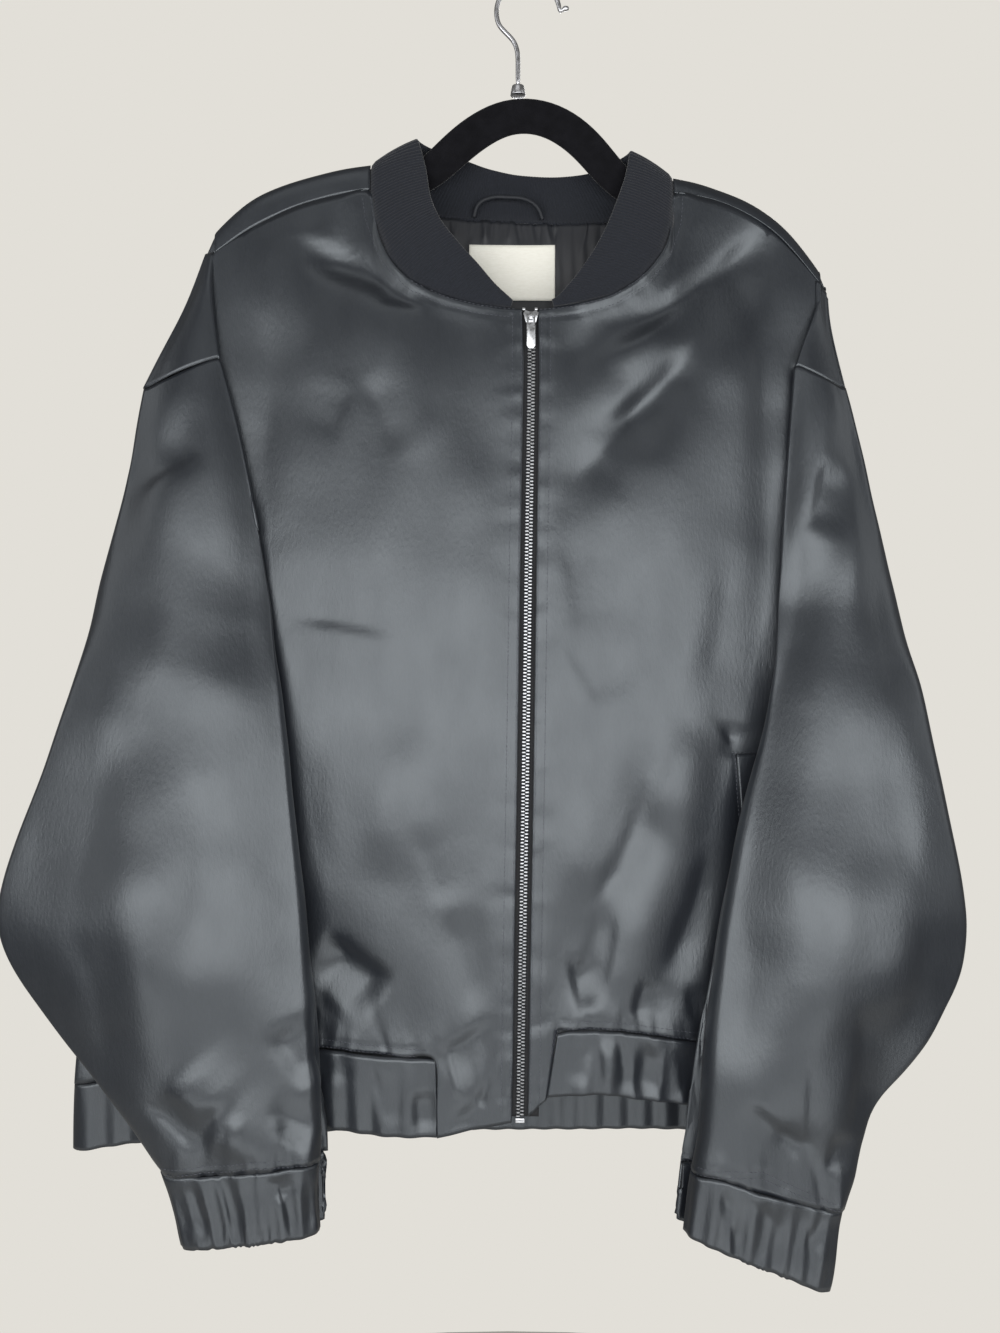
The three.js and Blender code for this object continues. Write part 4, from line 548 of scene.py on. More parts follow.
# Creases of the fronts as the photo shows them: x1, z1, x2, z2, bow, width and depth in mm.
FRONT_FOLDS = {
    "right": [
        (-180, -212, -70, -256, 7, 13, 7.0), (-118, -247, -76, -253, 1, 4.5, 2.0),
        (-196, -190, -100, -226, 5, 8, -2.4), (-126, -306, -99, -372, 5, 10, 1.3),
        (-132, -312, -152, -360, -4, 9, 0.8), (-182, -489, -96, -503, 3, 6, 1.2),
        (-158, -728, -98, -764, -6, 12, 8.0), (-150, -770, -176, -800, 3, 9, 2.6),
        (-22, -788, -74, -820, 4, 9, 3.2), (-66, -700, -38, -796, 6, 13, 2.6),
        (-30, -560, -26, -690, 4, 10, 1.6), (-96, -560, -120, -690, 8, 22, -2.4),
        (-48, -330, -62, -520, 8, 26, -2.2), (-170, -560, -150, -700, -6, 16, 2.2),
        (-88, -640, -60, -715, 4, 11, 1.8), (-196, -250, -204, -420, 4, 14, 2.4),
        (-22, -836, -62, -874, 3, 9, 3.0),
    ],
    "left": [
        (190, -186, 60, -278, 10, 12, 6.6), (160, -205, 52, -300, 12, 10, -3.8),
        (134, -276, 46, -358, 8, 12, 5.6), (96, -312, 22, -398, 6, 12, 3.0),
        (92, -608, 44, -712, 8, 11, 4.4), (58, -690, 32, -780, 5, 9, 3.6),
        (138, -656, 100, -764, 6, 11, 4.4), (150, -584, 158, -577, 1, 5, 1.5),
        (30, -742, 42, -786, 2, 6, 3.4), (118, -560, 80, -660, 8, 14, -3.0),
        (70, -700, 58, -780, 3, 8, -2.6), (170, -230, 176, -380, 6, 16, 2.6),
        (20, -420, 44, -520, 6, 14, 2.0), (152, -430, 128, -560, 8, 18, 2.2),
        (88, -756, 78, -792, 2, 7, 2.6), (120, -765, 126, -795, 1, 6, 2.2),
        (154, -566, 150, -598, 2, 9, 2.0), (22, -500, 58, -560, 3, 9, 1.6),
    ],
}
POCKET = [(154, -591), (176.5, -591)]  # the upper end of the left pocket, and its welt
WELT_LINE = [(155.5, -593), (157, -620), (160.7, -656), (163, -700), (165, -750)]

front_seams = {}
for name, side in SIDES.items():
    zs = np.linspace(-262, -858, 60)
    beside_zip = [[(zip_x(z) + side * (6 + off), z) for z in zs] for off in (1.6, 8.2)]
    xs = np.linspace(-330, -75, 50) if side < 0 else np.linspace(16, 240, 45)
    over_band = above_hem(xs, front_hem_x, front_hem_z)
    around_neck = [neck_line(off, side) for off in (1.2, 7.4)]
    front_seams[name] = beside_zip + over_band + around_neck + ([POCKET, WELT_LINE] if side > 0 else [])

cloth = {}
for name, side in SIDES.items():
    panel = fine_cloth(outer_wall(f"front_{name}", SATIN_WALL, facing=(0, -1, 0)))
    at = evened_underarm(panel, span=26, rounds=60)
    zip_away = np.abs(at[:, 0] - zip_x(at[:, 2])) - 6
    hem_away = at[:, 2] - np.interp(at[:, 0], front_hem_x, front_hem_z)
    neck_away, neck_along = from_neckline(at)
    calm = soft_step((zip_away - 6) / 26) * soft_step((neck_away + 2) / 24)
    waves = drift(at, 11 + side, span=130, height=1.2) + drift(at, 17 + side, span=46, height=0.3)
    depth = calm * (troughs(at, FRONT_FOLDS[name]) + waves)
    depth += puckers(zip_away, at[:, 2], 31 + side, spacing=17, reach=22, height=0.75)
    depth += puckers(hem_away, at[:, 0], 41 + side, spacing=11, reach=34, height=1.5)
    depth += puckers(neck_away, neck_along, 51 + side, spacing=12, reach=20, height=0.5)
    depth += groove(at, front_seams[name])
    cloth[name] = shaped(panel, depth * top_layer(panel))
    made = satin_piece(f"front_{name}", panel)

# BACK. One wide panel of the same satin, brought forward over the hanger to the shoulder seams, and sewn to
# the collar, the sleeves and the hem band. It hangs plain, with long soft folds towards the hem.
BACK_FOLDS = [
    (-190, -230, -60, -340, 12, 18, 3.4), (178, -236, 46, -352, -12, 18, 3.4),
    (-30, -250, 60, -262, 4, 16, 1.8), (-62, -560, -112, -790, 14, 18, 4.2),
    (74, -590, 36, -800, -12, 18, 3.8), (-204, -520, -238, -760, 8, 20, -3.0),
    (160, -500, 176, -720, 8, 20, 3.0), (-150, -600, -168, -810, 6, 14, 3.0),
    (0, -420, -24, -640, 10, 24, 2.6), (-270, -560, -262, -800, -6, 14, 2.6),
    (120, -690, 128, -820, 4, 12, 2.8), (10, -700, -8, -826, 4, 12, 2.4),
    (-90, -380, -130, -520, 8, 20, 2.0), (206, -600, 212, -800, 4, 12, 2.2),
]
panel = fine_cloth(outer_wall("back", SATIN_WALL, facing=(0, 1, 0)), cell=9.6 * MM)
at = evened_underarm(panel, span=40, rounds=120)
hem_away = at[:, 2] - np.interp(at[:, 0], back_hem_x, back_hem_z)
behind = soft_step((at[:, 1] - 6) / 8)
waves = drift(at, 23, span=120, height=1.6) + drift(at, 29, span=44, height=0.35)
depth = behind * (troughs(at, BACK_FOLDS) + waves)
depth += puckers(hem_away, at[:, 0], 43, spacing=11, reach=36, height=1.5) * behind
back_seams = above_hem(np.linspace(-340, 240, 90), back_hem_x, back_hem_z)
depth += groove(at, back_seams) * behind
cloth["back"] = shaped(panel, depth * top_layer(panel, side=1))
made = satin_piece("back", panel)

# SLEEVES. Full balloon sleeves of the same satin with one seam under the arm, set into the dropped armholes
# and gathered into the cuffs. They hang flat and fold back against the body.
SLEEVE_FOLDS = {
    "right": [
        (-300, -396, -240, -364, 4, 8, 3.0), (-236, -600, -244, -760, 8, 14, 3.2),
        (-262, -640, -276, -800, -8, 20, -3.2), (-190, -786, -160, -834, 6, 11, 4.4),
        (-192, -846, -154, -866, 3, 5.5, 2.8), (-188, -858, -158, -878, 3, 4.5, 2.2),
        (-262, -822, -230, -858, 6, 12, -3.4), (-300, -560, -322, -720, -10, 22, 3.0),
        (-212, -380, -204, -560, -4, 15, 2.4), (-330, -700, -304, -830, 10, 16, 3.0),
        (-238, -876, -280, -838, -4, 6, 2.6), (-236, -880, -222, -838, 3, 5, 2.2),
        (-250, -440, -286, -560, 8, 24, -2.2), (-214, -880, -206, -846, 2, 5, -1.8),
    ],
    "left": [
        (224, -368, 206, -430, 4, 8, 3.0), (206, -420, 184, -552, 4, 9, 3.0),
        (238, -760, 235, -872, 5, 10, 4.4), (152, -836, 204, -874, -4, 6, 3.0),
        (196, -640, 190, -800, 8, 20, -3.0), (262, -560, 282, -700, -10, 20, 2.6),
        (160, -700, 148, -830, 5, 14, 2.2), (172, -858, 196, -884, 3, 5, 2.0),
        (262, -440, 270, -560, -6, 16, 2.2), (286, -700, 268, -800, 8, 15, 2.8),
        (222, -860, 214, -892, 2, 6, 2.4), (199, -800, 199, -900, 0, 3, 1.0),
    ],
}
CREASE_Y = -14  # mm, the depth of the crease between a sleeve and the front beside it
sleeve_seams = {}
for name, side in SIDES.items():
    arm = fine_cloth(outer_wall(f"sleeve_{name}", SATIN_WALL))
    at = coordinates(arm) / MM
    in_front = top_layer(arm)
    forward = soft_step((CREASE_Y - at[:, 1]) / 10)  # the crease keeps its line
    outward = np.maximum(in_front * forward, top_layer(arm, side=1) * (1 - in_front))
    at = evened_underarm(arm, span=44, rounds=140, share=outward)
    cuff = solid_points(f"cuff_{name}")
    stations = np.arange(cuff[:, 0].min() + 4, cuff[:, 0].max() - 3, 6.0)
    tops = np.array([cuff[np.abs(cuff[:, 0] - x) < 7][:, 2].max() for x in stations])
    cuff_away = at[:, 2] - np.interp(at[:, 0], stations, tops)
    front, behind = top_layer(arm), top_layer(arm, side=1)
    depth = front * troughs(at, SLEEVE_FOLDS[name])
    rear_folds = [  # like the front's, but lower, wider and flatter
        (x1 + 6, z1 - 25, x2 - 6, z2 - 15, -bow, width * 1.2, deep * 0.8)
        for x1, z1, x2, z2, bow, width, deep in SLEEVE_FOLDS[name]
    ]
    depth += behind * (1 - front) * troughs(at, rear_folds)
    waves = drift(at, 61 + side, span=140, height=1.1) + drift(at, 67 + side, span=50, height=0.3)
    depth += waves * soft_step(cuff_away / 30 + 0.2)
    depth += puckers(cuff_away, at[:, 0], 71 + side, spacing=10, reach=30, height=1.7)
    sleeve_seams[name] = [[(x, z + off) for x, z in zip(stations, tops)] for off in (1.4, 6.0)]
    depth += groove(at, sleeve_seams[name]) * front
    cloth[f"sleeve_{name}"] = shaped(arm, depth)
    made = satin_piece(f"sleeve_{name}", arm)

# CUFFS AND HEM BAND. Doubled strips of the satin over wide elastic, which draws them into puffs and gathers.
# The cuffs are sewn to the sleeves' ends and the band to the body's lower edge. The band ends beside the zip.
BAND_WALL = 2.4 * MM
CUFF_MIDDLE_Y = -50  # mm
CUFF_RADIUS = 40  # mm, which turns angles around a cuff into lengths
CUFF_FOLDS = {
    "right": [
        (-226, -880, -212, -942, 2, 3.4, 2.0), (-184, -890, -171, -942, 3, 3.4, 2.0),
        (-187, -892, -177, -912, 1, 6, 2.4), (-246, -890, -232, -940, -2, 7, 2.6),
        (-205, -905, -203, -940, 1, 5, -1.4), (-160, -895, -158, -935, 1, 5, 1.4),
    ],
    "left": [
        (136, -896, 150, -958, 2, 4, 2.2), (172, -900, 166, -960, 2, 7, 2.6),
        (200, -908, 206, -968, -2, 4, 2.0), (152, -900, 186, -930, 3, 5, -1.8),
        (214, -915, 198, -950, 2, 6, 1.8),
    ],
}
for name, side in SIDES.items():
    band = fine_cloth(outer_wall(f"cuff_{name}", BAND_WALL), cell=4.6 * MM)
    at = coordinates(band) / MM
    relaxed(band, np.ones(len(at)), 10)
    turn = np.arctan2(at[:, 1] - CUFF_MIDDLE_Y, at[:, 0] - at[:, 0].mean()) * CUFF_RADIUS
    foot = 1 - soft_step((at[:, 2] - at[:, 2].min()) / 60)
    unrolled = np.stack([turn, 0 * turn, at[:, 2]], 1)
    depth = drift(unrolled, 81 + side, span=62, height=1.8, upright=1.6)
    depth += puckers(at[:, 2].max() - at[:, 2], turn, 83 + side, spacing=9, reach=11, height=1.2)
    depth += puckers(at[:, 2] - at[:, 2].min() - 14, turn, 87 + side, spacing=8, reach=8, height=0.8)
    depth += troughs(at, CUFF_FOLDS[name]) * top_layer(band)
    shaped(band, depth)
    ripple = foot * np.sin(turn * 0.6 + np.sin(turn * 0.23) * 2)
    put_back(band, coordinates(band) + np.outer(ripple, (0, 0, 0.5 * MM)))
    made = satin_piece(f"cuff_{name}", band, BAND_WALL)

BAND_REACH = 1.1  # mm that each end of the band is drawn out
BAND_MIDDLE_X = -25  # mm, between its two ends
BAND_FOLDS = [
    (-118, -822, -103, -874, 2, 5, 2.4), (-84, -840, -80, -876, 1, 8, 2.4),
    (-150, -826, -158, -866, 2, 9, -2.0), (46, -800, 40, -842, -2, 4, 2.0),
    (66, -800, 72, -846, 2, 5, 2.2), (92, -804, 80, -850, 3, 11, 3.4), (112, -806, 118, -852, 2, 7, 2.6),
    (56, -802, 60, -840, 1, 5, -1.8), (102, -806, 100, -850, 1, 5, -1.8),
]
band = fine_cloth(outer_wall("hem_band", BAND_WALL), cell=4.8 * MM)
at = coordinates(band) / MM
relaxed(band, np.ones(len(at)), 12)
in_front = at[:, 1] < 4
for side in (-1, 1):  # both ends reach the fronts that they are sewn to
    here = in_front & (side * (at[:, 0] - BAND_MIDDLE_X) > 0)
    end_away = np.where(here, side * at[:, 0] - (side * at[here, 0]).min(), 1e3)
    at[:, 0] -= side * BAND_REACH * np.exp(-end_away / 5)
put_back(band, at * MM)
run = at[:, 0] + np.where(at[:, 1] > 4, 700, 0)  # the back's half of the band follows the front's
unrolled = np.stack([run, 0 * run, at[:, 2]], 1)
depth = drift(unrolled, 91, span=78, height=2.2, upright=1.5)
depth += puckers(at[:, 2].max() - at[:, 2], run, 93, spacing=13, reach=26, height=1.2)
depth += troughs(at, BAND_FOLDS) * top_layer(band)
shaped(band, depth)
made = satin_piece("hem_band", band, BAND_WALL)

# POCKET WELTS. A narrow doubled strip of the satin in each front, sewn to the pocket's slit and at its ends.
WELT_WALL = 1.2 * MM
for name in SIDES:
    welt = fine_cloth(outer_wall(f"pocket_welt_{name}", WELT_WALL, facing=(0, -1, 0)))
    made = satin_piece(f"pocket_welt_{name}", welt, WELT_WALL)

# COLLAR. A strip of matte rib knit, folded double along its free edge and stretched around the neckline, where
# it is sewn under the satin's edge. Its ribs run across it, 2.1 mm apart at the free edge and 2.7 at the seam.
RIB_WALL = 2.6 * MM
CAD_RIB = 0.45 * MM  # the solid's every second column of points stands this much higher
RIBS = 226
RIB_SAMPLES = 6  # points along the strip for each rib
RIB_HEIGHT = 0.5 * MM
FACE_SAMPLES = 9  # points across one face of the strip
FOLD_TURN = np.radians([45, 90, 135])  # how the cloth turns over at the free edge
SEAM_TUCK = np.array([-3.4, -1.3])  # mm beyond the seam's edge, under the satin
UPPER_TUCK = [-1.0, -0.7]  # mm that the upper face is lifted there
LOWER_TUCK = [-1.5, -1.9]
SEAM_LIFT = 0.5  # mm at the seam itself
RIBBED = 0.45  # mm of lift from which the ribs stand up


def grid_of(sheet):
    """The points of a plain grid of quads, in mm, as rows along its longer side."""
    def walk(start, edge):
        line = [start, edge.other_vert(start)]
        while True:
            ahead = [near for near in line[-1].link_edges if not set(near.link_faces) & set(edge.link_faces)]
            if not ahead:
                return line
            edge = ahead[0]
            line.append(edge.other_vert(line[-1]))

    corner = next(vertex for vertex in sheet.verts if len(vertex.link_edges) == 2)
    short = min((walk(corner, edge) for edge in corner.link_edges), key=len)
    away = [
        next(edge for edge in vertex.link_edges if edge.other_vert(vertex) not in short) for vertex in short
    ]
    return np.array([[point.co / MM for point in walk(vertex, edge)] for vertex, edge in zip(short, away)])


def resampled(values, at):
    """A smooth curve through rows of values, at fractional row numbers."""
    last = len(values) - 1
    i = np.clip(np.floor(at).astype(int), 0, last - 1)
    t = (at - i).reshape(-1, *[1] * (values.ndim - 1))
    a, b = values[np.maximum(i - 1, 0)], values[i]
    c, d = values[i + 1], values[np.minimum(i + 2, last)]
    return b + 0.5 * t * (c - a + t * (2 * a - 5 * b + 4 * c - d + t * (3 * (b - c) + d - a)))


def skin(name, rings):
    """A closed mesh over rings of points (in mm), with a face over each end."""
    count, sides = rings.shape[:2]
    mesh = bpy.data.meshes.new(name)
    faces = [list(range(sides))[::-1], [(count - 1) * sides + k for k in range(sides)]]
    for i in range(count - 1):
        for k in range(sides):
            after = (k + 1) % sides
            faces.append([i * sides + k, i * sides + after, (i + 1) * sides + after, (i + 1) * sides + k])
    mesh.from_pydata((rings.reshape(-1, 3) * MM).tolist(), [], faces)
    closed = bmesh.new()
    closed.from_mesh(mesh)
    bmesh.ops.recalc_face_normals(closed, faces=closed.faces)
    closed.to_mesh(mesh)
    closed.free()
    return mesh


def unit(vectors):
    return vectors / np.linalg.norm(vectors, axis=-1, keepdims=True)


half = RIB_WALL / MM / 2
outside = grid_of(outer_wall("collar", RIB_WALL, RIB_WALL + CAD_RIB))  # rows across it, columns along it
row_reach = np.hypot(outside[:, :, 0] - NECK_MIDDLE[0], outside[:, :, 2] - NECK_MIDDLE[1]).mean(1)
if row_reach[0] < row_reach[-1]:
    outside = outside[::-1]  # the first row is the seam's
all_points = np.unique(np.round(collar_points, 4), axis=0)
inside = np.empty_like(outside)
for r, row in enumerate(outside):
    for c, point in enumerate(row):
        distance = np.linalg.norm(all_points - point, axis=1)
        errors = [np.abs(distance - wall / MM) for wall in (RIB_WALL, RIB_WALL + CAD_RIB)]
        inside[r, c] = all_points[np.minimum(*errors).argmin()]
across = unit(outside - inside)
middle = inside + across * half
run = np.concatenate([[0], np.linalg.norm(np.diff(middle.mean(0), axis=0), axis=1).cumsum()])
columns = np.interp(np.linspace(0, run[-1], RIBS * RIB_SAMPLES + 1), run, np.arange(len(run)))
middle = resampled(middle.transpose(1, 0, 2), columns).transpose(1, 0, 2)
across = unit(resampled(across.transpose(1, 0, 2), columns).transpose(1, 0, 2))

# The strip's closed outline at each column: up the outer face from the seam, over the free edge and back down.
# Each point has its place along the rows, its way beyond the last one, and its lift off the strip's middle.
last_row = len(middle) - 1
row_span = np.linalg.norm(middle[-1] - middle[-2], axis=1).mean()
face = np.linspace(0, last_row - half / row_span, FACE_SAMPLES)
flat = np.zeros(FACE_SAMPLES)
place = np.concatenate([[0, 0], face, np.full(len(FOLD_TURN), face[-1]), face[::-1], [0, 0]])
beyond = np.concatenate([SEAM_TUCK, flat, half * np.sin(FOLD_TURN), flat, SEAM_TUCK[::-1]])
lift = np.concatenate([UPPER_TUCK, flat + half, half * np.cos(FOLD_TURN), flat - half, LOWER_TUCK])
lift[len(UPPER_TUCK)] = SEAM_LIFT
ribs = 1 - np.abs(2 * (np.arange(len(columns)) / RIB_SAMPLES % 1) - 1) ** 3
grown = 1 + ribs[None, :] * RIB_HEIGHT / MM / half * (np.abs(lift) > RIBBED)[:, None]
above = resampled(middle, np.minimum(place + 0.1, last_row))
below = resampled(middle, np.maximum(place - 0.1, 0))
strip = resampled(middle, place) + unit(above - below) * beyond[:, None, None]
strip += unit(resampled(across, place)) * (lift[:, None] * grown)[:, :, None]


def fine_bump(span, stretch, detail, strength, distance):
    """A bump of threads or fibres of that span, which stand up by that distance."""
    def bump(tree):
        height = grain(tree, stretch, 1 / span, detail)
        return add(tree, "ShaderNodeBump", {
            "Strength": strength, "Distance": distance, "Height": height,
        }).outputs["Normal"]
    return bump


# Yarn of acrylic and wool, dyed to go with the satin, with lighter fibres and a little fuzz.
knit_bump = fine_bump(0.9 * MM, (1, 1, 1), 2.0, strength=0.5, distance=0.25 * MM)
knit_colour = two_tones("#0e1117", "#21252e", 1.4 * MM, detail=3.0)
RIB_KNIT = finish_of("rib_knit_acrylic_wool", {
    "Roughness": 0.85, "Specular IOR Level": 0.3, "Sheen Weight": 0.25, "Sheen Roughness": 0.5,
}, knit_bump, knit_colour)
knit = skin("collar_rib_knit", strip.transpose(1, 0, 2))
collar = piece("collar_rib_knit", knit, RIB_KNIT, nodes=["collar"])

# NECK LINING. The jacket's lining of black polyester taffeta, where it shows at the back of the neck. It is
# gathered into the collar's seam, and a bare woven label is sewn on it.
LINING_WALL = 1.0 * MM
LINING_FORWARD = 0.9  # mm clear of the back
LINING_RISE = 4.5  # mm that its upper edge goes up behind the collar
LINING_THICK = 0.7 * MM
LABEL_WALL = 0.8 * MM
LABEL_THICK = 0.6 * MM
LABEL_FORWARD = LINING_FORWARD + 0.5
LABEL_HEM = 1.6  # mm from its edge to the line of its sewing

lining_bump = fine_bump(0.9 * MM, (1, 1, 0.08), 1.0, strength=0.15, distance=0.15 * MM)
lining_colour = two_tones("#15171c", "#202329", 2 * MM, (1, 1, 0.2))
LINING = finish_of("lining_polyester_taffeta", {
    "Roughness": 0.5, "Specular IOR Level": 0.5,
}, lining_bump, lining_colour)
lining = fine_cloth(outer_wall("lining_back_neck", LINING_WALL, facing=(0, -1, 0)), cell=7 * MM)
at = coordinates(lining) / MM
label_box = solid_points("neck_label")
beside_label = np.abs(at[:, 0] - label_box[:, 0].mean()) - np.ptp(label_box[:, 0]) / 2
above_label = at[:, 2] - label_box[:, 2].max()
free = soft_step(np.maximum(beside_label, above_label) / 5)
from_top = np.array([at[np.abs(at[:, 0] - x) < 7][:, 2].max() for x in at[:, 0]]) - at[:, 2]
gathers = puckers(from_top, at[:, 0], 101, spacing=6, reach=26, height=1.0) * (0.3 + 0.7 * free)
shaped(lining, gathers + drift(at, 103, span=36, height=0.3) - LINING_FORWARD)
put_back(lining, coordinates(lining) + np.outer(np.exp(-from_top / 5), (0, 0, LINING_RISE * MM)))
lining = thickened(lining, LINING_THICK)
made = piece("lining_back_neck_cloth", lining, LINING, nodes=["lining_back_neck"])

label_bump = fine_bump(0.7 * MM, (1, 1, 0.4), 1.0, strength=0.35, distance=0.12 * MM)
label_colour = two_tones("#e6e4d8", "#f4f3ea", 1.1 * MM, (0.3, 1, 1))
LABEL = finish_of("woven_label_cream_polyester", {
    "Roughness": 0.7, "Sheen Weight": 0.1,
}, label_bump, label_colour)
label = fine_cloth(outer_wall("neck_label", LABEL_WALL, facing=(0, -1, 0)), cell=4 * MM)
at = coordinates(label) / MM
edge_away = np.minimum.reduce([
    at[:, 0] - at[:, 0].min(), at[:, 0].max() - at[:, 0],
    at[:, 2] - at[:, 2].min(), at[:, 2].max() - at[:, 2],
])
sewing = 0.35 * np.exp(-((edge_away - LABEL_HEM) / 0.8) ** 2)
shaped(label, sewing + drift(at, 107, span=30, height=0.25) - LABEL_FORWARD)
made = piece("neck_label_woven", thickened(label, LABEL_THICK), LABEL, nodes=["neck_label"])

# ZIP. A metal zip of size 5: two black woven tapes sewn behind the satin's edges, teeth of polished nickel,
# stops at both ends, and a slider with its pull at the top.
TAPE_WALL = 0.9 * MM
TAPE_THICK = 0.8 * MM
TOOTH_PITCH = 2.57  # mm
TOOTH = (3.1, 2.5, 1.32)  # across, deep and high, in mm
TOOTH_BEVEL = 0.42  # mm
TOOTH_OFFSET = 1.42  # mm from the zip's middle to the middle of a tooth
ZIP_ENDS = (-860, -271)  # heights of the first and last tooth, in mm
tape_bump = fine_bump(0.8 * MM, (1, 1, 0.5), 1.0, strength=0.5, distance=0.2 * MM)
tape_colour = two_tones("#0c0d10", "#1c1d21", 1.0 * MM, (1, 1, 0.3))
ZIP_TAPE = finish_of("zip_tape_woven_polyester", {"Roughness": 0.8}, tape_bump, tape_colour)


def metal_roughness(tree):
    """Fine scratches and the dull bloom of handled metal."""
    bloom = grain(tree, (1, 1, 1), 1 / (3 * MM), 3.0)
    return add(tree, "ShaderNodeMapRange", {
        "Value": bloom, "From Min": 0.3, "From Max": 0.7, "To Min": 0.22, "To Max": 0.4,
    }).outputs["Result"]


NICKEL = finish_of("polished_nickel_zip_metal", {
    "Base Color": linear("#babcbf"), "Metallic": 1.0,
}, roughness=metal_roughness)
for name in SIDES:
    tape = fine_cloth(outer_wall(f"zip_tape_{name}", TAPE_WALL, facing=(0, -1, 0)), cell=7 * MM)
    tape = thickened(tape, TAPE_THICK)
    made = piece(f"zip_tape_{name}_woven", tape, ZIP_TAPE, nodes=[f"zip_tape_{name}"])


def repeated_tree():
    """Geometry nodes that set copies of a unit along lines, upright on them, a little uneven in size."""
    tree = bpy.data.node_groups.new("units along lines", "GeometryNodeTree")
    tree.is_modifier = True
    for label, kind in (
        ("Geometry", "NodeSocketGeometry"), ("Unit", "NodeSocketObject"), ("Pitch", "NodeSocketFloat"),
        ("Unevenness", "NodeSocketFloat"), ("Seed", "NodeSocketInt"), ("Finish", "NodeSocketMaterial"),
    ):
        tree.interface.new_socket(label, in_out="INPUT", socket_type=kind)
    tree.interface.new_socket("Geometry", in_out="OUTPUT", socket_type="NodeSocketGeometry")
    given = add(tree, "NodeGroupInput").outputs
    lines = add(tree, "GeometryNodeMeshToCurve", {"Mesh": given["Geometry"]})
    spaced = add(tree, "GeometryNodeResampleCurve", {
        "Curve": lines.outputs["Curve"], "Length": given["Pitch"],
    }, mode="LENGTH")
    tangent = add(tree, "GeometryNodeInputTangent")
    turned = add(tree, "FunctionNodeAlignRotationToVector", {"Vector": tangent.outputs["Tangent"]}, axis="Z")
    smallest = add(tree, "ShaderNodeMath", {0: 1.0, 1: given["Unevenness"]}, operation="SUBTRACT")
    largest = add(tree, "ShaderNodeMath", {0: 1.0, 1: given["Unevenness"]}, operation="ADD")
    size = add(tree, "FunctionNodeRandomValue", {
        2: smallest.outputs[0], 3: largest.outputs[0], "Seed": given["Seed"],
    }, data_type="FLOAT")
    copied = add(tree, "GeometryNodeObjectInfo", {"Object": given["Unit"]})
    copies = add(tree, "GeometryNodeInstanceOnPoints", {
        "Points": spaced.outputs["Curve"], "Instance": copied.outputs["Geometry"],
        "Rotation": turned.outputs["Rotation"], "Scale": size.outputs[1],
    })
    real = add(tree, "GeometryNodeRealizeInstances", {"Geometry": copies.outputs["Instances"]})
    done = add(tree, "GeometryNodeSetMaterial", {
        "Geometry": real.outputs["Geometry"], "Material": given["Finish"],
    })
    add(tree, "NodeGroupOutput", {"Geometry": done.outputs["Geometry"]})
    return tree


REPEATED = repeated_tree()


def along_lines(name, lines, shape, pitch, material, unevenness=0.0, seed=1):
    """A mesh of copies of a shape along lines of points in mm, by the geometry nodes above."""
    mesh = bpy.data.meshes.new(name)
    points, edges = [], []
    for line in lines:
        edges += [(len(points) + i, len(points) + i + 1) for i in range(len(line) - 1)]
        points += [tuple(value * MM for value in point) for point in line]
    mesh.from_pydata(points, edges, [])
    unit_holder = placed(f"{name}_unit", mesh_of(f"{name}_unit", shape))
    holder = placed(f"{name}_lines", mesh)
    nodes = holder.modifiers.new("units", "NODES")
    nodes.node_group = REPEATED
    values = {
        "Unit": unit_holder, "Pitch": pitch * MM, "Unevenness": unevenness, "Seed": seed, "Finish": material,
    }
    for socket in REPEATED.interface.items_tree:
        if socket.name in values and socket.in_out == "INPUT":
            nodes[socket.identifier] = values[socket.name]
    done = bpy.data.meshes.new_from_object(holder.evaluated_get(bpy.context.evaluated_depsgraph_get()))
    for made in (holder, unit_holder):
        bpy.data.objects.remove(made)
    return done


def bevelled_box(size, bevel):
    box = bmesh.new()
    bmesh.ops.create_cube(box, size=1.0)
    bmesh.ops.scale(box, verts=box.verts, vec=[value * MM for value in size])
    bmesh.ops.bevel(box, geom=box.edges, offset=bevel * MM, segments=1, affect="EDGES")
    return box


for name, side in SIDES.items():
    start = ZIP_ENDS[0] + (TOOTH_PITCH / 2 if side > 0 else 0)
    heights = np.arange(start, ZIP_ENDS[1], TOOTH_PITCH)
    line = [(zip_x(z) + side * TOOTH_OFFSET, zip_y(z), z) for z in heights]
    tooth = bevelled_box(TOOTH, TOOTH_BEVEL)
    teeth = along_lines(f"zip_teeth_{name}_metal", [line], tooth, TOOTH_PITCH, NICKEL)
    made = piece(f"zip_teeth_{name}_metal", teeth, NICKEL, nodes=[f"zip_teeth_{name}"])
    made.data.set_sharp_from_angle(angle=math.radians(30))


def solid_shape(node):
    shape = bmesh.new()
    shape.from_mesh(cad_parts[node].data)
    bmesh.ops.remove_doubles(shape, verts=shape.verts, dist=0.01 * MM)
    return shape


def hard_copy(name, node, material, bevel, body="jacket"):
    """The solid of a hard piece, with its sharp edges bevelled by so many millimetres."""
    shape = solid_shape(node)
    bmesh.ops.dissolve_limit(shape, angle_limit=math.radians(2), verts=shape.verts, edges=shape.edges)
    sharp = [edge for edge in shape.edges if edge.calc_face_angle(0) > math.radians(28)]
    bmesh.ops.bevel(
        shape, geom=sharp, offset=bevel * MM, segments=2, profile=0.5, affect="EDGES", clamp_overlap=True,
    )
    mesh = mesh_of(name, shape)
    piece(name, mesh, material, body, [node])
    mesh.set_sharp_from_angle(angle=math.radians(40))


hard_copy("zip_slider_metal", "zip_slider", NICKEL, 0.35)
hard_copy("zip_pull_metal", "zip_pull", NICKEL, 0.25, body="pull")
for name in ("zip_top_stop_right", "zip_top_stop_left", "zip_bottom_stop"):
    hard_copy(f"{name}_metal", name, NICKEL, 0.4)

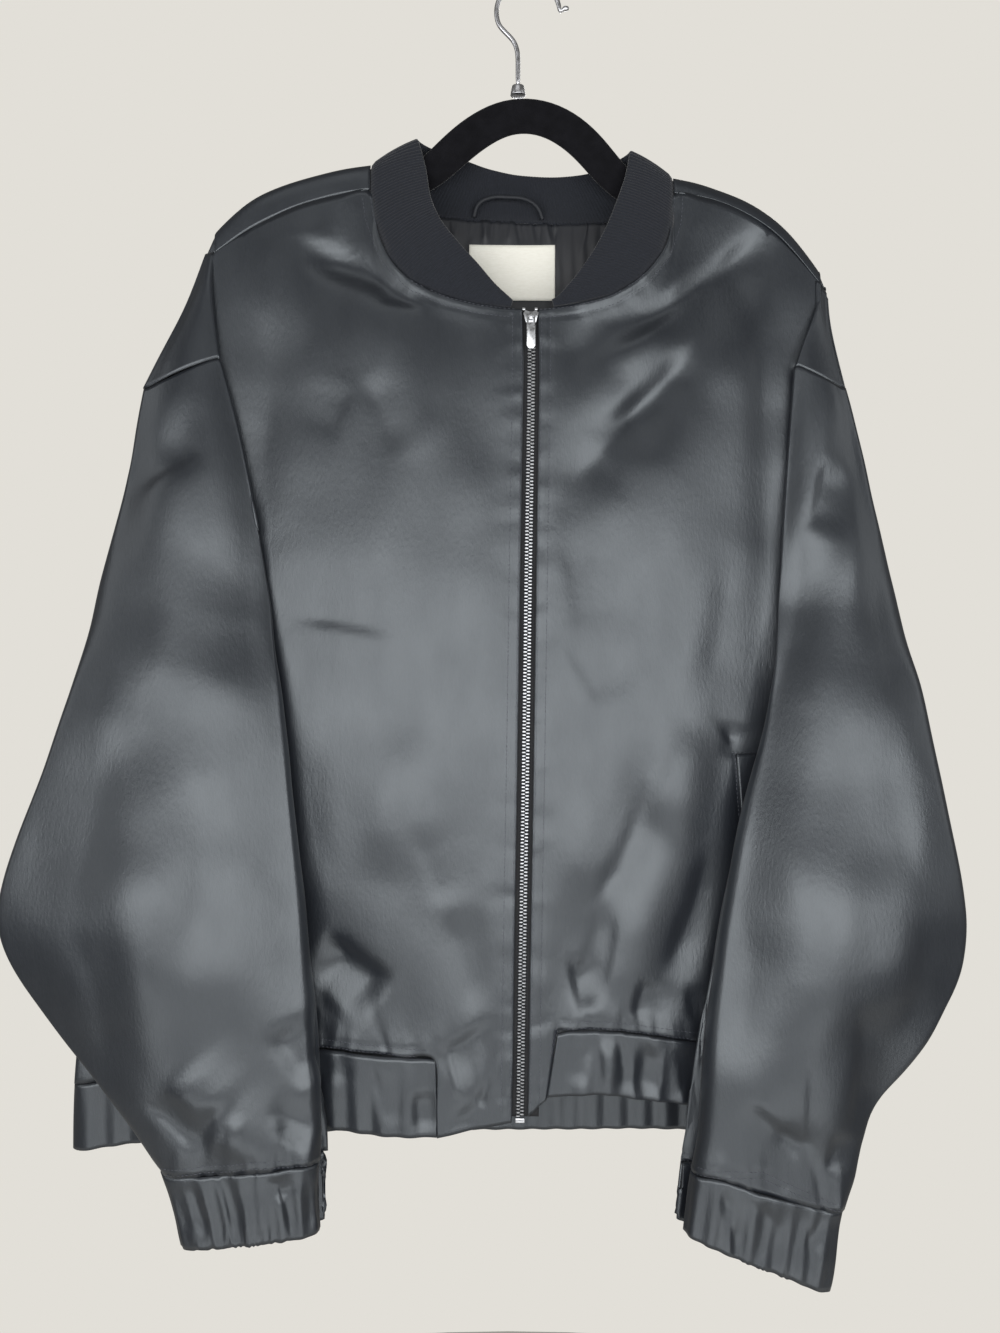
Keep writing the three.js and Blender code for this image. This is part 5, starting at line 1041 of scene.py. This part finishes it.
# HANGER. A thin flat bar of plastic with a flocked velvet skin, which carries the shoulders. Its wire hook of
# polished steel is pressed into a small steel ferrule on top of the bar.
velvet_bump = fine_bump(0.7 * MM, (1, 1, 1), 2.0, strength=0.6, distance=0.25 * MM)
velvet_colour = two_tones("#0b0b0d", "#1b1b1f", 9 * MM, detail=3.0)
VELVET = finish_of("flocked_velvet_nylon_pile", {
    "Roughness": 1.0, "Specular IOR Level": 0.1, "Sheen Weight": 0.35, "Sheen Roughness": 0.35,
}, velvet_bump, velvet_colour)
CHROME = finish_of("polished_steel_wire", {
    "Base Color": linear("#d9dade"), "Metallic": 1.0,
}, roughness=metal_roughness)


def rounded_copy(name, node, material, levels):
    """A soft-edged solid as a finer surface."""
    shape = solid_shape(node)
    bmesh.ops.join_triangles(
        shape, faces=shape.faces, angle_face_threshold=1.2, angle_shape_threshold=math.pi,
        topology_influence=2,
    )
    return piece(name, smoothed(mesh_of(name, shape), levels), material, "jacket", [node])


rounded_copy("hanger_bar_velvet", "hanger_bar", VELVET, 2)
rounded_copy("hanger_hook_steel", "hanger_hook", CHROME, 1)
hard_copy("hanger_ferrule_steel", "hanger_ferrule", CHROME, 0.5)

# STITCHES. Lock stitches of dark polyester thread, 3.2 mm apart, in pairs of lines beside the zip, around the
# neckline and above the hem band and cuffs. Each one lies half sunk in its groove.
STITCH_PITCH = 3.2  # mm
STITCH = (0.27, 1.2)  # radius and half length, in mm
STITCH_LIFT = 0.05  # mm off the cloth
LAID_STEP = 3  # mm between the places where a line is set on the cloth
THREAD = finish_of("sewing_thread_polyester", {"Base Color": linear("#4a4d55"), "Roughness": 0.5})


def laid(line, mesh, side=-1):
    """A line of (x, z), set on the cloth as seen from the front (side -1) or the back (side 1)."""
    tree = ray_tree(mesh)
    runs = [[]]
    for (x1, z1), (x2, z2) in zip(line, line[1:]):
        steps = max(1, round(math.hypot(x2 - x1, z2 - z1) / LAID_STEP))
        for i in range(steps):
            x, z = x1 + (x2 - x1) * i / steps, z1 + (z2 - z1) * i / steps
            hit = tree.ray_cast(Vector((x * MM, side, z * MM)), Vector((0, -side, 0)))[0]
            if hit is None:
                runs.append([])
            else:
                runs[-1].append((x, hit.y / MM + side * STITCH_LIFT, z))
    return [run for run in runs if len(run) > 2]


def stitch():
    capsule = bmesh.new()
    bmesh.ops.create_uvsphere(capsule, u_segments=6, v_segments=4, radius=1)
    bmesh.ops.scale(capsule, verts=capsule.verts, vec=(STITCH[0] * MM, STITCH[0] * MM, STITCH[1] * MM))
    return capsule


sewn = {
    "fronts": [
        run for name in SIDES for line in front_seams[name] for run in laid(line, cloth[name])
    ],
    "back": [run for line in back_seams for run in laid(line, cloth["back"], side=1)],
    "sleeves": [
        run for name in SIDES for line in sleeve_seams[name] for side in (-1, 1)
        for run in laid(line, cloth[f"sleeve_{name}"], side)
    ],
}
for number, (name, runs) in enumerate(sewn.items()):
    mesh = along_lines(
        f"stitches_{name}", runs, stitch(), STITCH_PITCH, THREAD, unevenness=0.12, seed=200 + number,
    )
    piece(f"stitches_{name}", mesh, THREAD)

# STAGE. A pale floor far below the hanging jacket, soft light from beside the camera, and a pale room.
FLOOR_Z = -2.2  # metres
FLOOR_REACH = 2.27  # its radius
disc = bmesh.new()
bmesh.ops.create_circle(disc, cap_ends=True, segments=96, radius=FLOOR_REACH)
bmesh.ops.translate(disc, verts=disc.verts, vec=(0, 0, FLOOR_Z))
floor = placed("floor", mesh_of("floor", disc))
floor.data.materials.append(finish_of("pale_floor_paint", {"Base Color": linear("#e4e1da"), "Roughness": 0.8}))


SOFTBOXES = {  # place, aim and size in metres, and power in watts
    "key": ((-0.04, -1.6, -0.56), (0, 0, -0.56), (3.6, 0.95), 40),
    "low": ((0.0, -1.4, -1.75), (0, 0, -0.9), (2.4, 0.5), 8.5),
    "top": ((-0.2, -1.2, 1.2), (0, 0, -0.4), (1.6, 0.8), 3),
    "side_left": ((-2.2, -0.6, 0.1), (0, 0, -0.5), (0.8, 1.6), 5),
    "side_right": ((2.2, -0.6, 0.1), (0, 0, -0.5), (0.8, 1.6), 5),
    "back_fill": ((0.4, 2.4, 0.4), (0, 0, -0.5), (1.4, 1.4), 30),
}
for name, (spot, aim, size, power) in SOFTBOXES.items():
    light = bpy.data.lights.new(name, "AREA")
    light.shape = "RECTANGLE"
    light.size, light.size_y = size
    light.energy = power
    light.color = linear("#ffffff")[:3]
    made = placed(name, light)
    made.location = spot
    made.rotation_euler = (Vector(aim) - Vector(spot)).to_track_quat("-Z", "Y").to_euler()

ROOM_LIGHT = 0.16  # strength of the room's light on the jacket
WALL_TONE = 1.0  # and of the wall as the camera sees it
world = bpy.data.worlds.new("pale_room")
bpy.context.scene.world = world
world.use_nodes = True
tree = world.node_tree
tree.nodes.clear()
seen_directly = add(tree, "ShaderNodeLightPath").outputs["Is Camera Ray"]
room = add(tree, "ShaderNodeBackground", {"Color": linear("#e9e6df"), "Strength": ROOM_LIGHT})
wall = add(tree, "ShaderNodeBackground", {"Color": linear("#e2dfd8"), "Strength": WALL_TONE})
mixed = add(tree, "ShaderNodeMixShader", {
    "Fac": seen_directly, 1: room.outputs["Background"], 2: wall.outputs["Background"],
})
add(tree, "ShaderNodeOutputWorld", {"Surface": mixed.outputs["Shader"]})
bpy.context.scene.view_settings.view_transform = "Standard"
